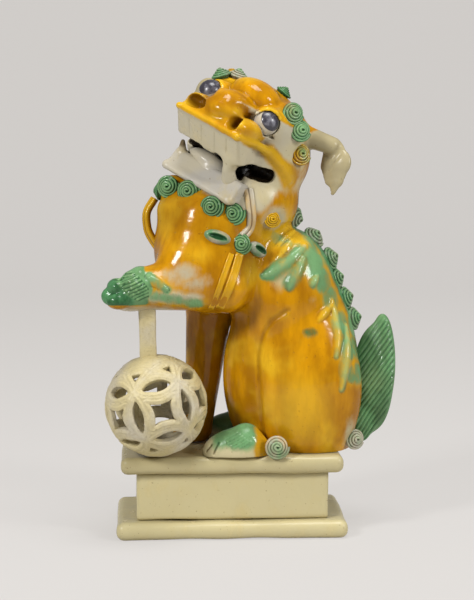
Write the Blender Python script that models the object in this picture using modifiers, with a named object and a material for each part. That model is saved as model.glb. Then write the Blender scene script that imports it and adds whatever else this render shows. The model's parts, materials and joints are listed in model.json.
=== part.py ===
"""Foo dog incense holder: a seated guardian lion of lead-glazed biscuit ware on a hollow box plinth.

Every piece is one piece of clay as the potter made it: rolled slabs for the plinth, two press-moulded
half shells for the body, a hollow head with loose eyeballs, and applied legs, snail curls and ribbons.
Lengths below are millimetres. +X is the lion's rump, -Y its left side, +Z up, with the origin under the
middle of the plinth.
"""

import math

import bmesh
import bpy
from mathutils import Matrix, Vector
from mathutils.bvhtree import BVHTree

MM = 0.001

# Joints between pieces of clay
LUTE_GAP = 0.3
SINK = 1.6

# Plinth slabs
FOOT_LENGTH, FOOT_DEPTH, FOOT_HEIGHT = 103.0, 55.0, 8.0
BOX_LENGTH, BOX_DEPTH, BOX_HEIGHT, BOX_WALL = 85.5, 44.0, 20.9, 5.0
TOP_LENGTH, TOP_DEPTH, TOP_HEIGHT = 98.5, 52.0, 7.5
SLAB_EDGE = 2.6
SEAT = FOOT_HEIGHT + BOX_HEIGHT + TOP_HEIGHT + 2 * LUTE_GAP

# Openwork ball and the post on it
BALL_RADIUS, BALL_WALL = 22.7, 3.2
BALL_FROM_LEFT, BALL_FROM_FRONT = 15.6, 5.2
BALL_WINDOWS = 6
BALL_WINDOW_HALF, BALL_LENS_HALF_LENGTH, BALL_LENS_HALF_WIDTH, BALL_CORNER_HALF = 5.3, 7.2, 2.7, 2.3
BALL_TURN, BALL_ROLL = 8.0, 13.0
POST_WIDTH, POST_DEPTH, POST_FROM_CROWN, POST_BEHIND_PAW = 7.6, 6.4, 3.0, 8.0

# Joss-stick tube on the far flank
TUBE_RADIUS, TUBE_BORE, TUBE_LENGTH, TUBE_FLOOR = 6.2, 4.4, 38.0, 4.0
TUBE_X, TUBE_HEIGHT, TUBE_OUT = 9.0, 47.0, 5.0

# Body shell: centres are (x, y, height over the seat), then radii
BODY_WALL = 5.0
NECK_HEIGHT = 111.0
CHEST = ((-8, -2, 91), (26, 22, 30))
THROAT = ((-6, -2, 108), (26, 19, 13))
BEARD_ROLL = ((-25.0, -0.5, 117.5), 6.0, (-3, -12, 109), 6.5)
NAPE = ((8.5, 1, 112), (22, 21, 20))
MANE = ((14, 1, 133), (22, 20, 24))
BACK = ((25, 0, 67), (23.5, 21, 33))
TRUNK = ((24, 0, 33), (27, 20, 44))
RUMP = ((40, 0, 28), (19, 20, 50))
HAUNCH = ((35, 12, 28), (23.5, 13.5, 34))

# Forelegs and hind feet, in the same terms; a rod is two ends with a radius at each
SHOULDER = ((-9, -15, 90), (17, 10, 24))
RAISED_ARM = ((-2, -18, 75), 10.5, (-35, -21, 75.5), 9.8)
RAISED_ELBOW = ((-4, -20, 71), (7, 6, 6))
RAISED_PAW = ((-46.0, -21.5, 72.2), (12.6, 11, 7.6))
STANDING_LEG = ((-9, 12, 60), 10.5, (-14, 13, 6), 6.2)
STANDING_SHOULDER = ((-6, 11, 72), (13, 9, 16))
STANDING_PAW = ((-22, 13.5, 4), (12, 8.5, 6.5))
HIND_FOOT = ((2.5, 19.5, 4), (14.5, 8.2, 8.6))
TAIL_LEAF = ((65.5, 2, 30), (9.3, 5.2, 24))
TAIL_BLADE = ((69.5, 2, 42), (5.6, 4.4, 18))
TAIL_ROOT = ((59.5, 1, 9), (5.5, 5, 8))

# Head: place between the eyes, then its axes as yaw from the front, pitch up and roll, in degrees
HEAD_PLACE = (4.2, -14, 156)
HEAD_YAW, HEAD_PITCH, HEAD_ROLL = -33.4, 11.5, 24.0
# Forms on the head are (forward, left, up) from the place between the eyes, then radii
SKULL = ((-18, 0, -7), (20, 22, 18))
FOREHEAD = ((-9, 0, 4.5), (10.5, 12.5, 7.5))
TEMPLE = ((-15, 16.5, -4), (12, 9, 12))
BROW = ((-4.0, 14.5, -2.6), (7.6, 7.2, 7.2))
BRIDGE = ((3, 0, -2), (13, 10, 6.5))
NOSE = ((9.5, 0, -6.5), (9.0, 9.5, 6.4))
NOSTRIL_WING = ((10, 12.0, -6.4), (8.4, 7.0, 6.2))
NOSTRIL = ((17.5, 12.0, -6.6), (6.0, 5.2, 3.0))
MUZZLE = ((-1, 0, -18.2), (14.0, 18.0, 5.7))
MUZZLE_SLANT = 0.9
LIP_RIM = ((18.4, 17.0, -13.0), 1.7, (-4, 21.0, -16.5), 1.7, (-25, 20.0, -20), 1.5)
CHEEK = ((-17, 16.5, -21), (14, 8.0, 14))
GULLET = ((-22, 0, -36), (15, 20, 16))
MOUTH_BACK, MOUTH_TOP, MOUTH_BOTTOM = -11.0, -24.0, -32.4
FANG = ((1.0, 16.0), 2.7, 1.9)
FANG_LEAN = 4.2
HEAD_HOLLOW = ((-22, 0, -26), (13, 14, 20))
JAW_FORM = ((-10.0, 1, -36.6), (13.0, 20.0, 4.2))
JAW_SLANT = 0.6
JAW_RIM = ((-2.0, 20.0, -40.4), 1.9, (-20, 20.5, -40.4), 1.9)
JAW_SCOOP = ((-7.5, 1, -30.5), (7.6, 15.0, 5.6))
TONGUE = ((-4, -0.5, -33.4), (6.4, 10.5, 5.0))
EYE_RADIUS, EYE_SPREAD, EYE_DROP, EYE_CLEARANCE = 5.5, 16.2, 2.6, 0.35
EAR_STALK = ((-21, 17, -2), 6.0, (-31, 33, 0), 5.2)
EAR_LOBE = ((-33, 37.5, -4.0), (3.6, 7.4, 8.4))
EAR_TIP = ((-33, 40.5, -12.5), (2.9, 5.0, 8.0))

# Snail curls
CURL_RADIUS, CURL_HEIGHT, CURL_SIDES = 5.2, 4.6, 8
BROW_CURLS = {
    "left": ((-7, 24, 9), (-13, 29, 1), (-18.5, 30, -8)),
    "right": ((-7.5, -22, 7), (-13.5, -15, 12), (-18, -22, 8)),
}
BEARD_CURLS = ((-27.3, -6.5, 119.2), (-18.3, -12, 116.6), (-8.7, -18, 109.6), (0.6, -21, 107.2))
SPINE_CURLS, SPINE_TOP, SPINE_BOTTOM = 6, 104.0, 57.5

# Ribbons
RIBBON_WIDTH, RIBBON_LIFT, RIBBON_STEP = 3.6, 0.5, 4.3
AHEAD = -90.0
CHEEK_STRAP = ((6.5, AHEAD, 119), (7.4, AHEAD, 112), (7.2, AHEAD, 104), (4.8, AHEAD, 99))
RIBBON_FALL = ((0.0, AHEAD, 89.0), (-3.2, AHEAD, 82), (-6.2, AHEAD, 74), (-8.8, AHEAD, 67))
RIGHT_RIBBON = ((-34.0, 3, 113), (-37.5, 2, 107), (-36.5, 0, 98), (-30, -3, 87))
BOW_FRONT, BOW_BACK = (-6.8, AHEAD, 97.8), (10.8, AHEAD, 91.6)
LEAF_LENGTH, LEAF_WIDTH, LEAF_HEIGHT = 11.0, 5.4, 4.4

AMBER = (0.72, 0.37, 0.02, 1.0)
GREEN = (0.20, 0.48, 0.24, 1.0)
CREAM = (0.72, 0.68, 0.54, 1.0)
BISCUIT = (0.66, 0.61, 0.45, 1.0)
AUBERGINE = (0.07, 0.06, 0.07, 1.0)
GLAZE_ROUGHNESS, BISCUIT_ROUGHNESS = 0.18, 0.45


def clear_scene():
    for obj in list(bpy.data.objects):
        bpy.data.objects.remove(obj, do_unlink=True)


def collection_named(name):
    collection = bpy.data.collections.new(name)
    bpy.context.scene.collection.children.link(collection)
    return collection


def glaze(name, color, roughness):
    material = bpy.data.materials.new(name)
    material.use_nodes = True
    shader = material.node_tree.nodes["Principled BSDF"]
    shader.inputs["Base Color"].default_value = color
    shader.inputs["Roughness"].default_value = roughness
    shader.inputs["Metallic"].default_value = 0.0
    return material


def mm(point):
    return Vector(point) * MM


def on_seat(point):
    """A point given by its height over the seat of the plinth, in metres."""
    return mm((point[0], point[1], point[2] + SEAT))


def mirrored(point):
    return (point[0], -point[1], point[2])


def head_frame():
    """The head's own axes: forward, left and up, at the place between the eyes."""
    turn = (
        Matrix.Rotation(math.radians(HEAD_YAW), 4, "Z")
        @ Matrix.Rotation(math.radians(-HEAD_PITCH), 4, "X")
        @ Matrix.Rotation(math.radians(HEAD_ROLL), 4, "Y")
    )
    forward = Vector((0, -1, 0))
    left = Vector((1, 0, 0))
    up = Vector((0, 0, 1))
    axes = Matrix((forward, left, up)).transposed().to_4x4()
    return Matrix.Translation(on_seat(HEAD_PLACE)) @ turn @ axes


def add_object(name, mesh, collection, material=None):
    obj = bpy.data.objects.new(name, mesh)
    collection.objects.link(obj)
    if material:
        mesh.materials.append(material)
    return obj


def object_from(shape, name, collection):
    mesh = bpy.data.meshes.new(name)
    bmesh.ops.recalc_face_normals(shape, faces=shape.faces)
    shape.to_mesh(mesh)
    shape.free()
    return add_object(name, mesh, collection)


def freeze(obj):
    """Makes what an object's modifiers show its own mesh."""
    bpy.context.view_layer.update()
    graph = bpy.context.evaluated_depsgraph_get()
    mesh = bpy.data.meshes.new_from_object(obj.evaluated_get(graph))
    obj.modifiers.clear()
    obj.data = mesh


def combine(obj, other, operation):
    """A Boolean of obj with a helper, which is then removed."""
    other.hide_render = True
    other.display_type = "WIRE"
    boolean = obj.modifiers.new(operation.title(), "BOOLEAN")
    boolean.operation = operation
    boolean.object = other
    freeze(obj)
    bpy.data.objects.remove(other, do_unlink=True)


def grown(obj, gap):
    """A copy of obj with its skin moved out by the gap."""
    shape = bmesh.new()
    shape.from_mesh(obj.data)
    shape.normal_update()
    moves = [vertex.normal * vertex.calc_shell_factor() * gap * MM for vertex in shape.verts]
    for vertex, move in zip(shape.verts, moves):
        vertex.co += move
    return object_from(shape, obj.name + "_grown", cutters)


def keep_whole(obj):
    """Keeps a copy of a piece as it was before anything was cut from it, for others to seat against."""
    copy = obj.copy()
    copy.data = obj.data.copy()
    copy.name = obj.name + "_whole"
    copy.hide_render = True
    copy.display_type = "WIRE"
    cutters.objects.link(copy)
    wholes[obj.name] = copy


def whole_of(obj):
    return wholes.get(obj.name, obj)


def cut_by(obj, carriers):
    """Seats a piece: takes the carriers out of it, with the luting gap all round."""
    for carrier in carriers:
        combine(obj, grown(whole_of(carrier), LUTE_GAP), "DIFFERENCE")


def cut_above_seat(obj):
    """Leaves what is above the plinth's top slab, with the luting gap under it."""
    shape = bmesh.new()
    half = 150 * MM
    place = Matrix.Translation((0, 0, (SEAT + LUTE_GAP) * MM - half))
    bmesh.ops.create_cube(shape, size=2 * half, matrix=place)
    combine(obj, object_from(shape, "under_seat", cutters), "DIFFERENCE")


def add_ball(shape, place, radii, around=24):
    size = Matrix.Diagonal((*radii, 1))
    rings = around * 4 // 7
    bmesh.ops.create_uvsphere(shape, u_segments=around, v_segments=rings, radius=1, matrix=place @ size)


def add_box(shape, place, halves):
    size = Matrix.Diagonal((*halves, 1))
    bmesh.ops.create_cube(shape, size=2, matrix=place @ size)


def seat_ball(shape, form):
    add_ball(shape, Matrix.Translation(on_seat(form[0])), mm(form[1]))


def head_ball(shape, form, around=24):
    add_ball(shape, HEAD @ Matrix.Translation(mm(form[0])), mm(form[1]), around)


def head_box(shape, form, slant=0.0):
    """A box on the head, leaning forward towards its top by the slant."""
    lean = Matrix(((1, 0, slant, 0), (0, 1, 0, 0), (0, 0, 1, 0), (0, 0, 0, 1)))
    add_box(shape, HEAD @ Matrix.Translation(mm(form[0])) @ lean, mm(form[1]))


def head_bead(shape, form, across):
    """A rolled bead along points on both sides of the head, and across the front if asked."""
    places, radii = form[0::2], form[1::2]
    for side in (1, -1):
        points = [HEAD @ mm((place[0], place[1] * side, place[2])) for place in places]
        for i in range(len(points) - 1):
            add_rod(shape, points[i], radii[i], points[i + 1], radii[i + 1])
    if across:
        left = HEAD @ mm(places[0])
        right = HEAD @ mm(mirrored(places[0]))
        add_rod(shape, left, radii[0], right, radii[0])


def add_rod(shape, start, start_radius, end, end_radius):
    """A tapered rod with round ends, in metres."""
    along = end - start
    turn = along.to_track_quat("Z", "Y").to_matrix().to_4x4()
    place = Matrix.Translation((start + end) / 2) @ turn
    bmesh.ops.create_cone(
        shape,
        cap_ends=True,
        segments=20,
        radius1=start_radius * MM,
        radius2=end_radius * MM,
        depth=along.length,
        matrix=place,
    )
    add_ball(shape, Matrix.Translation(start), [start_radius * MM] * 3)
    add_ball(shape, Matrix.Translation(end), [end_radius * MM] * 3)


def seat_rod(shape, form):
    add_rod(shape, on_seat(form[0]), form[1], on_seat(form[2]), form[3])


def clay(name, add_forms, grain, rounds, faces, collection):
    """Forms pressed together into one lump, smoothed over, with about so many faces left."""
    shape = bmesh.new()
    add_forms(shape)
    obj = object_from(shape, name, collection)
    lump = obj.modifiers.new("Lump", "REMESH")
    lump.mode = "VOXEL"
    lump.voxel_size = grain * MM
    smooth = obj.modifiers.new("Thumbed", "SMOOTH")
    smooth.factor = 0.5
    smooth.iterations = rounds
    freeze(obj)
    thin = obj.modifiers.new("Fewer", "DECIMATE")
    thin.ratio = min(1.0, faces / (2 * len(obj.data.polygons)))
    freeze(obj)
    return obj


def finish(obj, material):
    """Moves a finished piece into the parts, shaded smooth, in its glaze."""
    for collection in list(obj.users_collection):
        collection.objects.unlink(obj)
    parts.objects.link(obj)
    obj.data.materials.clear()
    obj.data.materials.append(material)
    obj.data.shade_smooth()
    obj.data.set_sharp_from_angle(angle=math.radians(35))
    return obj


def turned(name, profile, sides, place):
    """A profile of (radius, height) turned about its own axis and set in place."""
    mesh = bpy.data.meshes.new(name)
    points = [(radius * MM, 0, height * MM) for radius, height in profile]
    mesh.from_pydata(points, [(i, i + 1) for i in range(len(points) - 1)], [])
    obj = add_object(name, mesh, cutters)
    screw = obj.modifiers.new("Turned", "SCREW")
    screw.steps = screw.render_steps = sides
    screw.use_merge_vertices = True
    screw.merge_threshold = 0.00001
    freeze(obj)
    obj.data.transform(place)
    return obj


def prism(name, outline, half_depth):
    """A flat closed outline given thickness, as a mesh about its own origin."""
    curve = bpy.data.curves.new(name, "CURVE")
    curve.dimensions = "2D"
    curve.fill_mode = "BOTH"
    curve.extrude = half_depth * MM
    spline = curve.splines.new("POLY")
    spline.points.add(len(outline) - 1)
    for point, (x, y) in zip(spline.points, outline):
        point.co = (x * MM, y * MM, 0, 1)
    spline.use_cyclic_u = True
    guide = add_object(name, curve, cutters)
    bpy.context.view_layer.update()
    graph = bpy.context.evaluated_depsgraph_get()
    mesh = bpy.data.meshes.new_from_object(guide.evaluated_get(graph))
    bpy.data.objects.remove(guide, do_unlink=True)
    shape = bmesh.new()
    shape.from_mesh(mesh)
    bmesh.ops.remove_doubles(shape, verts=shape.verts, dist=0.000001)
    return shape


def slab(name, size, bottom, edge, material, middle=(0, 0)):
    """A rolled slab with soft edges, standing on a height."""
    shape = bmesh.new()
    place = Matrix.Translation(mm((*middle, bottom + size[2] / 2)))
    add_box(shape, place, mm(size) / 2)
    obj = object_from(shape, name, cutters)
    soft = obj.modifiers.new("Soft edges", "BEVEL")
    soft.width = edge * MM
    soft.segments = 2 if edge > 1 else 1
    freeze(obj)
    return finish(obj, material)


def make_plinth():
    slab("plinth_foot_slab", (FOOT_LENGTH, FOOT_DEPTH, FOOT_HEIGHT), 0, SLAB_EDGE, cream)
    bottom = FOOT_HEIGHT + LUTE_GAP
    edge = 0.8
    long_y = (BOX_DEPTH - BOX_WALL) / 2
    short_x = (BOX_LENGTH - BOX_WALL) / 2
    long_size = (BOX_LENGTH, BOX_WALL, BOX_HEIGHT)
    short_size = (BOX_WALL, BOX_DEPTH - 2 * BOX_WALL - 2 * LUTE_GAP, BOX_HEIGHT)
    slab("plinth_front_wall", long_size, bottom, edge, cream, (0, -long_y))
    slab("plinth_back_wall", long_size, bottom, edge, cream, (0, long_y))
    slab("plinth_left_wall", short_size, bottom, edge, cream, (-short_x, 0))
    slab("plinth_right_wall", short_size, bottom, edge, cream, (short_x, 0))
    top = bottom + BOX_HEIGHT + LUTE_GAP
    slab("plinth_top_slab", (TOP_LENGTH, TOP_DEPTH, TOP_HEIGHT), top, SLAB_EDGE, cream)


def bowed(corners, bow):
    """The corners of an outline with a point bowed in (or out, if negative) on each side."""
    outline = []
    for i, corner in enumerate(corners):
        after = corners[(i + 1) % len(corners)]
        outline.append(corner)
        middle = (Vector(corner) + Vector(after)) / 2
        outline.append(tuple(middle * (1 - bow)))
    return outline


def lens(half_length, half_width, steps=3):
    """The outline between two arcs that meet at both tips."""
    upper = []
    for i in range(steps):
        share = i / steps
        upper.append((half_length * (2 * share - 1), half_width * math.sin(math.pi * share)))
    return upper + [(-x, -y) for x, y in upper]


def make_ball():
    centre = mm(
        (
            -TOP_LENGTH / 2 + BALL_FROM_LEFT,
            -TOP_DEPTH / 2 + BALL_FROM_FRONT,
            SEAT + LUTE_GAP + BALL_RADIUS,
        )
    )
    roll = Matrix.Rotation(math.radians(-BALL_ROLL), 4, "Y")
    turn = Matrix.Rotation(math.radians(BALL_TURN), 4, "Z")
    place = Matrix.Translation(centre) @ roll @ turn
    shape = bmesh.new()
    size = Matrix.Diagonal((*[BALL_RADIUS * MM] * 3, 1))
    bmesh.ops.create_uvsphere(shape, u_segments=22, v_segments=13, radius=1, matrix=place @ size)
    ball = object_from(shape, "brocade_ball", cutters)
    keep_whole(ball)

    hollow = bmesh.new()
    size = Matrix.Diagonal((*[(BALL_RADIUS - BALL_WALL) * MM] * 3, 1))
    bmesh.ops.create_uvsphere(hollow, u_segments=16, v_segments=9, radius=1, matrix=place @ size)
    combine(ball, object_from(hollow, "ball_hollow", cutters), "DIFFERENCE")

    corner = BALL_WINDOW_HALF
    window = bowed([(-corner, -corner), (corner, -corner), (corner, corner), (-corner, corner)], 0.24)
    upright = [(y, x) for x, y in reversed(lens(BALL_LENS_HALF_LENGTH, BALL_LENS_HALF_WIDTH))]
    level = lens(BALL_LENS_HALF_LENGTH * 0.9, BALL_LENS_HALF_WIDTH)
    tip = BALL_CORNER_HALF
    triangle = [(-tip, tip * 0.8), (0, -tip), (tip, tip * 0.8)]
    upside = [(-x, -y) for x, y in triangle]
    step = 360 / BALL_WINDOWS
    holes = [(window, 0, 0), (upright, 0.5, 0), (level, 0, 30), (level, 0, -30)]
    holes += [(triangle, 0.5, 47), (upside, 0.5, -47)]
    piercing = bmesh.new()
    for outline, share, latitude in holes:
        for i in range(BALL_WINDOWS):
            hole = prism("hole", outline, BALL_WALL)
            longitude = Matrix.Rotation(math.radians(step * (i + share)), 4, "Z")
            tilt = Matrix.Rotation(math.radians(90 - latitude), 4, "X")
            out = Matrix.Translation((0, 0, (BALL_RADIUS - BALL_WALL / 2) * MM))
            hole.transform(place @ longitude @ tilt @ out)
            holder = bpy.data.meshes.new("hole")
            hole.to_mesh(holder)
            hole.free()
            piercing.from_mesh(holder)
    combine(ball, object_from(piercing, "ball_piercing", cutters), "DIFFERENCE")
    cut_above_seat(ball)
    return finish(ball, biscuit), centre


def body_forms(inset):
    """Adds the body's forms to a shape, smaller all round by the inset."""

    def add(shape):
        haunches = [HAUNCH, (mirrored(HAUNCH[0]), HAUNCH[1])]
        for place, radii in [CHEST, THROAT, NAPE, BACK, TRUNK, RUMP, *haunches]:
            seat_ball(shape, (place, [radius - inset for radius in radii]))
        start, start_radius, end, end_radius = BEARD_ROLL
        seat_rod(shape, (start, start_radius - inset, end, end_radius - inset))

    return add


def cut_by_box(obj, low, high):
    """Takes a box, given by two corners in millimetres, out of a piece."""
    shape = bmesh.new()
    low, high = Vector(low), Vector(high)
    add_box(shape, Matrix.Translation((low + high) / 2 * MM), (high - low) / 2 * MM)
    combine(obj, object_from(shape, "box", cutters), "DIFFERENCE")


def make_body():
    """The two press-moulded halves, and the whole outer form for what is luted on it."""
    far = 150
    form = clay("body_form", body_forms(0), 1.6, 6, 1300, cutters)
    cut_above_seat(form)
    neck = SEAT + NECK_HEIGHT
    cut_by_box(form, (-far, -far, neck), (far, far, neck + far))
    hollow = clay("body_hollow", body_forms(BODY_WALL), 2.4, 6, 320, cutters)
    shell = form.copy()
    shell.data = form.data.copy()
    cutters.objects.link(shell)
    combine(shell, hollow, "DIFFERENCE")
    half_gap = LUTE_GAP / 2
    for name, side in (("body_left_half", 1), ("body_right_half", -1)):
        half = shell.copy()
        half.data = shell.data.copy()
        half.name = name
        cutters.objects.link(half)
        low, high = sorted((-side * half_gap, side * far))
        cut_by_box(half, (-far, low, -far), (far, high, 2 * far))
        finish(half, amber)
    bpy.data.objects.remove(shell, do_unlink=True)
    return form


def make_forelegs(body):
    def raised(shape):
        seat_ball(shape, SHOULDER)
        seat_rod(shape, RAISED_ARM)
        seat_ball(shape, RAISED_ELBOW)
        seat_ball(shape, RAISED_PAW)

    def standing(shape):
        seat_ball(shape, STANDING_SHOULDER)
        seat_rod(shape, STANDING_LEG)
        seat_ball(shape, STANDING_PAW)

    arm = clay("raised_foreleg", raised, 1.5, 5, 520, cutters)
    keep_whole(arm)
    cut_by(arm, [body])
    keep_largest(arm)
    leg = clay("standing_foreleg", standing, 1.5, 5, 420, cutters)
    keep_whole(leg)
    cut_by(leg, [body])
    cut_above_seat(leg)
    keep_largest(leg)
    return finish(arm, amber), finish(leg, amber)


def keep_largest(obj):
    """Drops crumbs that a cut leaves beside the piece."""
    shape = bmesh.new()
    shape.from_mesh(obj.data)
    left = set(shape.verts)
    islands = []
    while left:
        queue = [left.pop()]
        island = set(queue)
        while queue:
            vertex = queue.pop()
            for edge in vertex.link_edges:
                other = edge.other_vert(vertex)
                if other in left:
                    left.remove(other)
                    island.add(other)
                    queue.append(other)
        islands.append(island)
    islands.sort(key=len)
    crumbs = [vertex for island in islands[:-1] for vertex in island]
    bmesh.ops.delete(shape, geom=crumbs, context="VERTS")
    shape.to_mesh(obj.data)
    shape.free()


def make_hind_feet(body, others):
    feet = []
    for name, form in (
        ("left_hind_foot", (mirrored(HIND_FOOT[0]), HIND_FOOT[1])),
        ("right_hind_foot", HIND_FOOT),
    ):

        def add(shape, form=form):
            seat_ball(shape, form)

        foot = clay(name, add, 1.4, 3, 260, cutters)
        keep_whole(foot)
        cut_by(foot, [body, *others])
        cut_above_seat(foot)
        keep_largest(foot)
        feet.append(finish(foot, green))
    return feet


def make_tail(body):
    def add(shape):
        for form in (TAIL_LEAF, TAIL_BLADE, TAIL_ROOT):
            seat_ball(shape, form)

    tail = clay("tail", add, 1.3, 4, 360, cutters)
    keep_whole(tail)
    cut_by(tail, [body])
    cut_above_seat(tail)
    keep_largest(tail)
    return finish(tail, green)


def head_side(form, side):
    return ((form[0][0], form[0][1] * side, form[0][2]), form[1])


def make_head(jaw):
    def forms(shape):
        for form in (THROAT, NAPE, MANE):
            seat_ball(shape, form)
        seat_rod(shape, BEARD_ROLL)
        for form in (SKULL, FOREHEAD, BRIDGE, NOSE, GULLET):
            head_ball(shape, form)
        head_box(shape, MUZZLE, MUZZLE_SLANT)
        head_bead(shape, LIP_RIM, True)
        for side in (1, -1):
            for form in (BROW, TEMPLE, NOSTRIL_WING, CHEEK):
                head_ball(shape, head_side(form, side))

    far = 150
    neck = SEAT + NECK_HEIGHT + LUTE_GAP
    head = clay("head_shell", forms, 1.1, 3, 1150, cutters)
    keep_whole(head)
    cut_by_box(head, (-far, -far, neck - far), (far, far, neck))

    mouth = bmesh.new()
    deep = 40
    middle = (MOUTH_BACK + deep, 0, (MOUTH_TOP + MOUTH_BOTTOM) / 2)
    head_box(mouth, (middle, (deep, deep, (MOUTH_TOP - MOUTH_BOTTOM) / 2)))
    combine(head, object_from(mouth, "mouth", cutters), "DIFFERENCE")
    cut_by(head, [jaw])

    hollow = bmesh.new()
    head_ball(hollow, HEAD_HOLLOW, 14)
    combine(head, object_from(hollow, "head_hollow", cutters), "DIFFERENCE")
    for side in (1, -1):
        bored = bmesh.new()
        head_ball(bored, head_side(NOSTRIL, side), 10)
        combine(head, object_from(bored, "nostril", cutters), "DIFFERENCE")
        socket = bmesh.new()
        radius = EYE_RADIUS + EYE_CLEARANCE
        head_ball(socket, ((0, EYE_SPREAD * side, -EYE_DROP), (radius,) * 3), 14)
        combine(head, object_from(socket, "socket", cutters), "DIFFERENCE")
    keep_largest(head)
    return finish(head, cream)


def make_jaw(body):
    def forms(shape):
        head_box(shape, JAW_FORM, JAW_SLANT)
        head_bead(shape, JAW_RIM, True)
        for side in (1, -1):
            (forward, spread), root, tip = FANG
            start = HEAD @ mm((forward, spread * side, MOUTH_BOTTOM - 2))
            end = HEAD @ mm((forward + FANG_LEAN, spread * side, MOUTH_TOP - tip - LUTE_GAP))
            add_rod(shape, start, root, end, tip)

    jaw = clay("lower_jaw", forms, 1.1, 3, 420, cutters)
    keep_whole(jaw)
    scoop = bmesh.new()
    head_box(scoop, JAW_SCOOP)
    combine(jaw, object_from(scoop, "scoop", cutters), "DIFFERENCE")
    cut_by(jaw, [body])
    keep_largest(jaw)
    return finish(jaw, cream)


def make_tongue(jaw):
    def form(shape):
        head_ball(shape, TONGUE)

    tongue = clay("tongue", form, 0.9, 2, 160, cutters)
    combine(tongue, grown(jaw, LUTE_GAP), "DIFFERENCE")
    keep_largest(tongue)
    return finish(tongue, cream)


def make_eyes():
    for name, side in (("left_eye", 1), ("right_eye", -1)):
        shape = bmesh.new()
        radius = EYE_RADIUS * MM
        bmesh.ops.create_uvsphere(shape, u_segments=12, v_segments=8, radius=radius)
        eye = object_from(shape, name, cutters)
        finish(eye, aubergine)
        eye.matrix_world = HEAD @ Matrix.Translation(mm((0, EYE_SPREAD * side, -EYE_DROP)))


def make_ears(head):
    for name, side in (("left_ear", 1), ("right_ear", -1)):

        def forms(shape, side=side):
            start, start_radius, end, end_radius = EAR_STALK
            start = HEAD @ mm((start[0], start[1] * side, start[2]))
            end = HEAD @ mm((end[0], end[1] * side, end[2]))
            add_rod(shape, start, start_radius, end, end_radius)
            head_ball(shape, head_side(EAR_LOBE, side))
            head_ball(shape, head_side(EAR_TIP, side))

        ear = clay(name, forms, 1.0, 3, 220, cutters)
        cut_by(ear, [head])
        keep_largest(ear)
        finish(ear, cream)


def nearest(carriers, aim):
    """The nearest point to aim on any of the carriers, with the way out of the surface there."""
    best = None
    for carrier in carriers:
        mesh = whole_of(carrier).data
        tree = BVHTree.FromPolygons(
            [vertex.co for vertex in mesh.vertices],
            [polygon.vertices for polygon in mesh.polygons],
        )
        point, normal, _, distance = tree.find_nearest(aim)
        if best is None or distance < best[2]:
            best = (point, normal, distance)
    return best[0], best[1]


def make_curl(name, aim, scale, carriers, neighbours, material, out=None):
    """A snail curl stuck on the clay behind the aim, on as much stem as it takes to get there."""
    point, normal = nearest(carriers, aim)
    axis = out or normal
    sink = SINK
    if out:
        point = aim
        hit = ray_seat(carriers, aim + axis * 0.01, -axis)
        sink += (aim - (hit or aim)).dot(axis) / MM
    radius, height = CURL_RADIUS * scale, CURL_HEIGHT * scale
    profile = [
        (0.0, height),
        (0.36 * radius, 0.86 * height),
        (0.46 * radius, 0.60 * height),
        (0.88 * radius, 0.46 * height),
        (radius, 0.20 * height),
        (0.94 * radius, -sink),
        (0.0, -sink),
    ]
    turn = axis.to_track_quat("Z", "Y").to_matrix().to_4x4()
    curl = turned(name, profile, CURL_SIDES, Matrix.Translation(point) @ turn)
    keep_whole(curl)
    cut_by(curl, [*carriers, *neighbours])
    keep_largest(curl)
    return finish(curl, material)


def make_curls(body, head, jaw, arm, feet, tail):
    curls = []
    step = (SPINE_TOP - SPINE_BOTTOM) / (SPINE_CURLS - 1)
    for i in range(SPINE_CURLS):
        aim = on_seat((90, 0, SPINE_TOP - i * step))
        carriers = [body, head] if i == 0 else [body]
        hit = ray_seat(carriers, aim, Vector((-1, 0, 0)))
        name = f"spine_curl_{i + 1}"
        curls.append(make_curl(name, hit, 1.0, carriers, curls[-1:] + [tail], green))

    for word in ("left", "right"):
        row = []
        for i, place in enumerate(BROW_CURLS[word]):
            aim = HEAD @ mm(place)
            name = f"{word}_brow_curl_{i + 1}"
            row.append(make_curl(name, aim, 0.95, [head], row, green))
    aim = HEAD @ mm((-22, 6, 16))
    make_curl("crown_curl", aim, 0.8, [head], [], green)

    throat = [jaw, head, body, arm]
    from_left = Vector((0, 1, 0))
    beard = []
    for i, place in enumerate(BEARD_CURLS):
        out = Vector((-0.45 + 0.12 * i, -1, -0.1)).normalized()
        name = f"beard_curl_{i + 1}"
        beard.append(make_curl(name, on_seat(place), 1.03, throat, beard[-1:], green, out))

    chest = [body, arm, head]
    hit = ray_seat(chest, on_seat((2.4, -90, 94.4)), from_left)
    knots = [make_curl("left_bow_knot", hit, 1.03, chest, beard[-1:], green)]
    hit = on_seat((-36, 4, 115))
    knots.append(make_curl("right_bow_knot", hit, 0.9, [body, head, jaw], beard[:1], green))
    hit = ray_seat(chest, on_seat((17.5, -90, 105.4)), from_left)
    make_curl("neck_curl", hit, 0.75, chest, [], amber)
    out = Vector((0.3, -1, 0.1)).normalized()
    root = make_curl("tail_root_curl", on_seat((55.0, -13, 5.4)), 1.0, [body, tail], [], green, out)
    cut_above_seat(root)
    for foot, word, side in ((feet[0], "left", -1), (feet[1], "right", 1)):
        out = Vector((0, side, 0.1)).normalized()
        place = on_seat((20.6, 25.5 * side, 4.6))
        heel = make_curl(f"{word}_heel_curl", place, 1.12, [body, foot], [], green, out)
        cut_above_seat(heel)
    return knots, beard


def ray_seat(carriers, start, way):
    """Where a line from outside first meets the carriers."""
    best = None
    for carrier in carriers:
        mesh = whole_of(carrier).data
        tree = BVHTree.FromPolygons(
            [vertex.co for vertex in mesh.vertices],
            [polygon.vertices for polygon in mesh.polygons],
        )
        point, _, _, distance = tree.ray_cast(start, way)
        if point and (best is None or distance < best[1]):
            best = (point, distance)
    return best[0] if best else None


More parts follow.
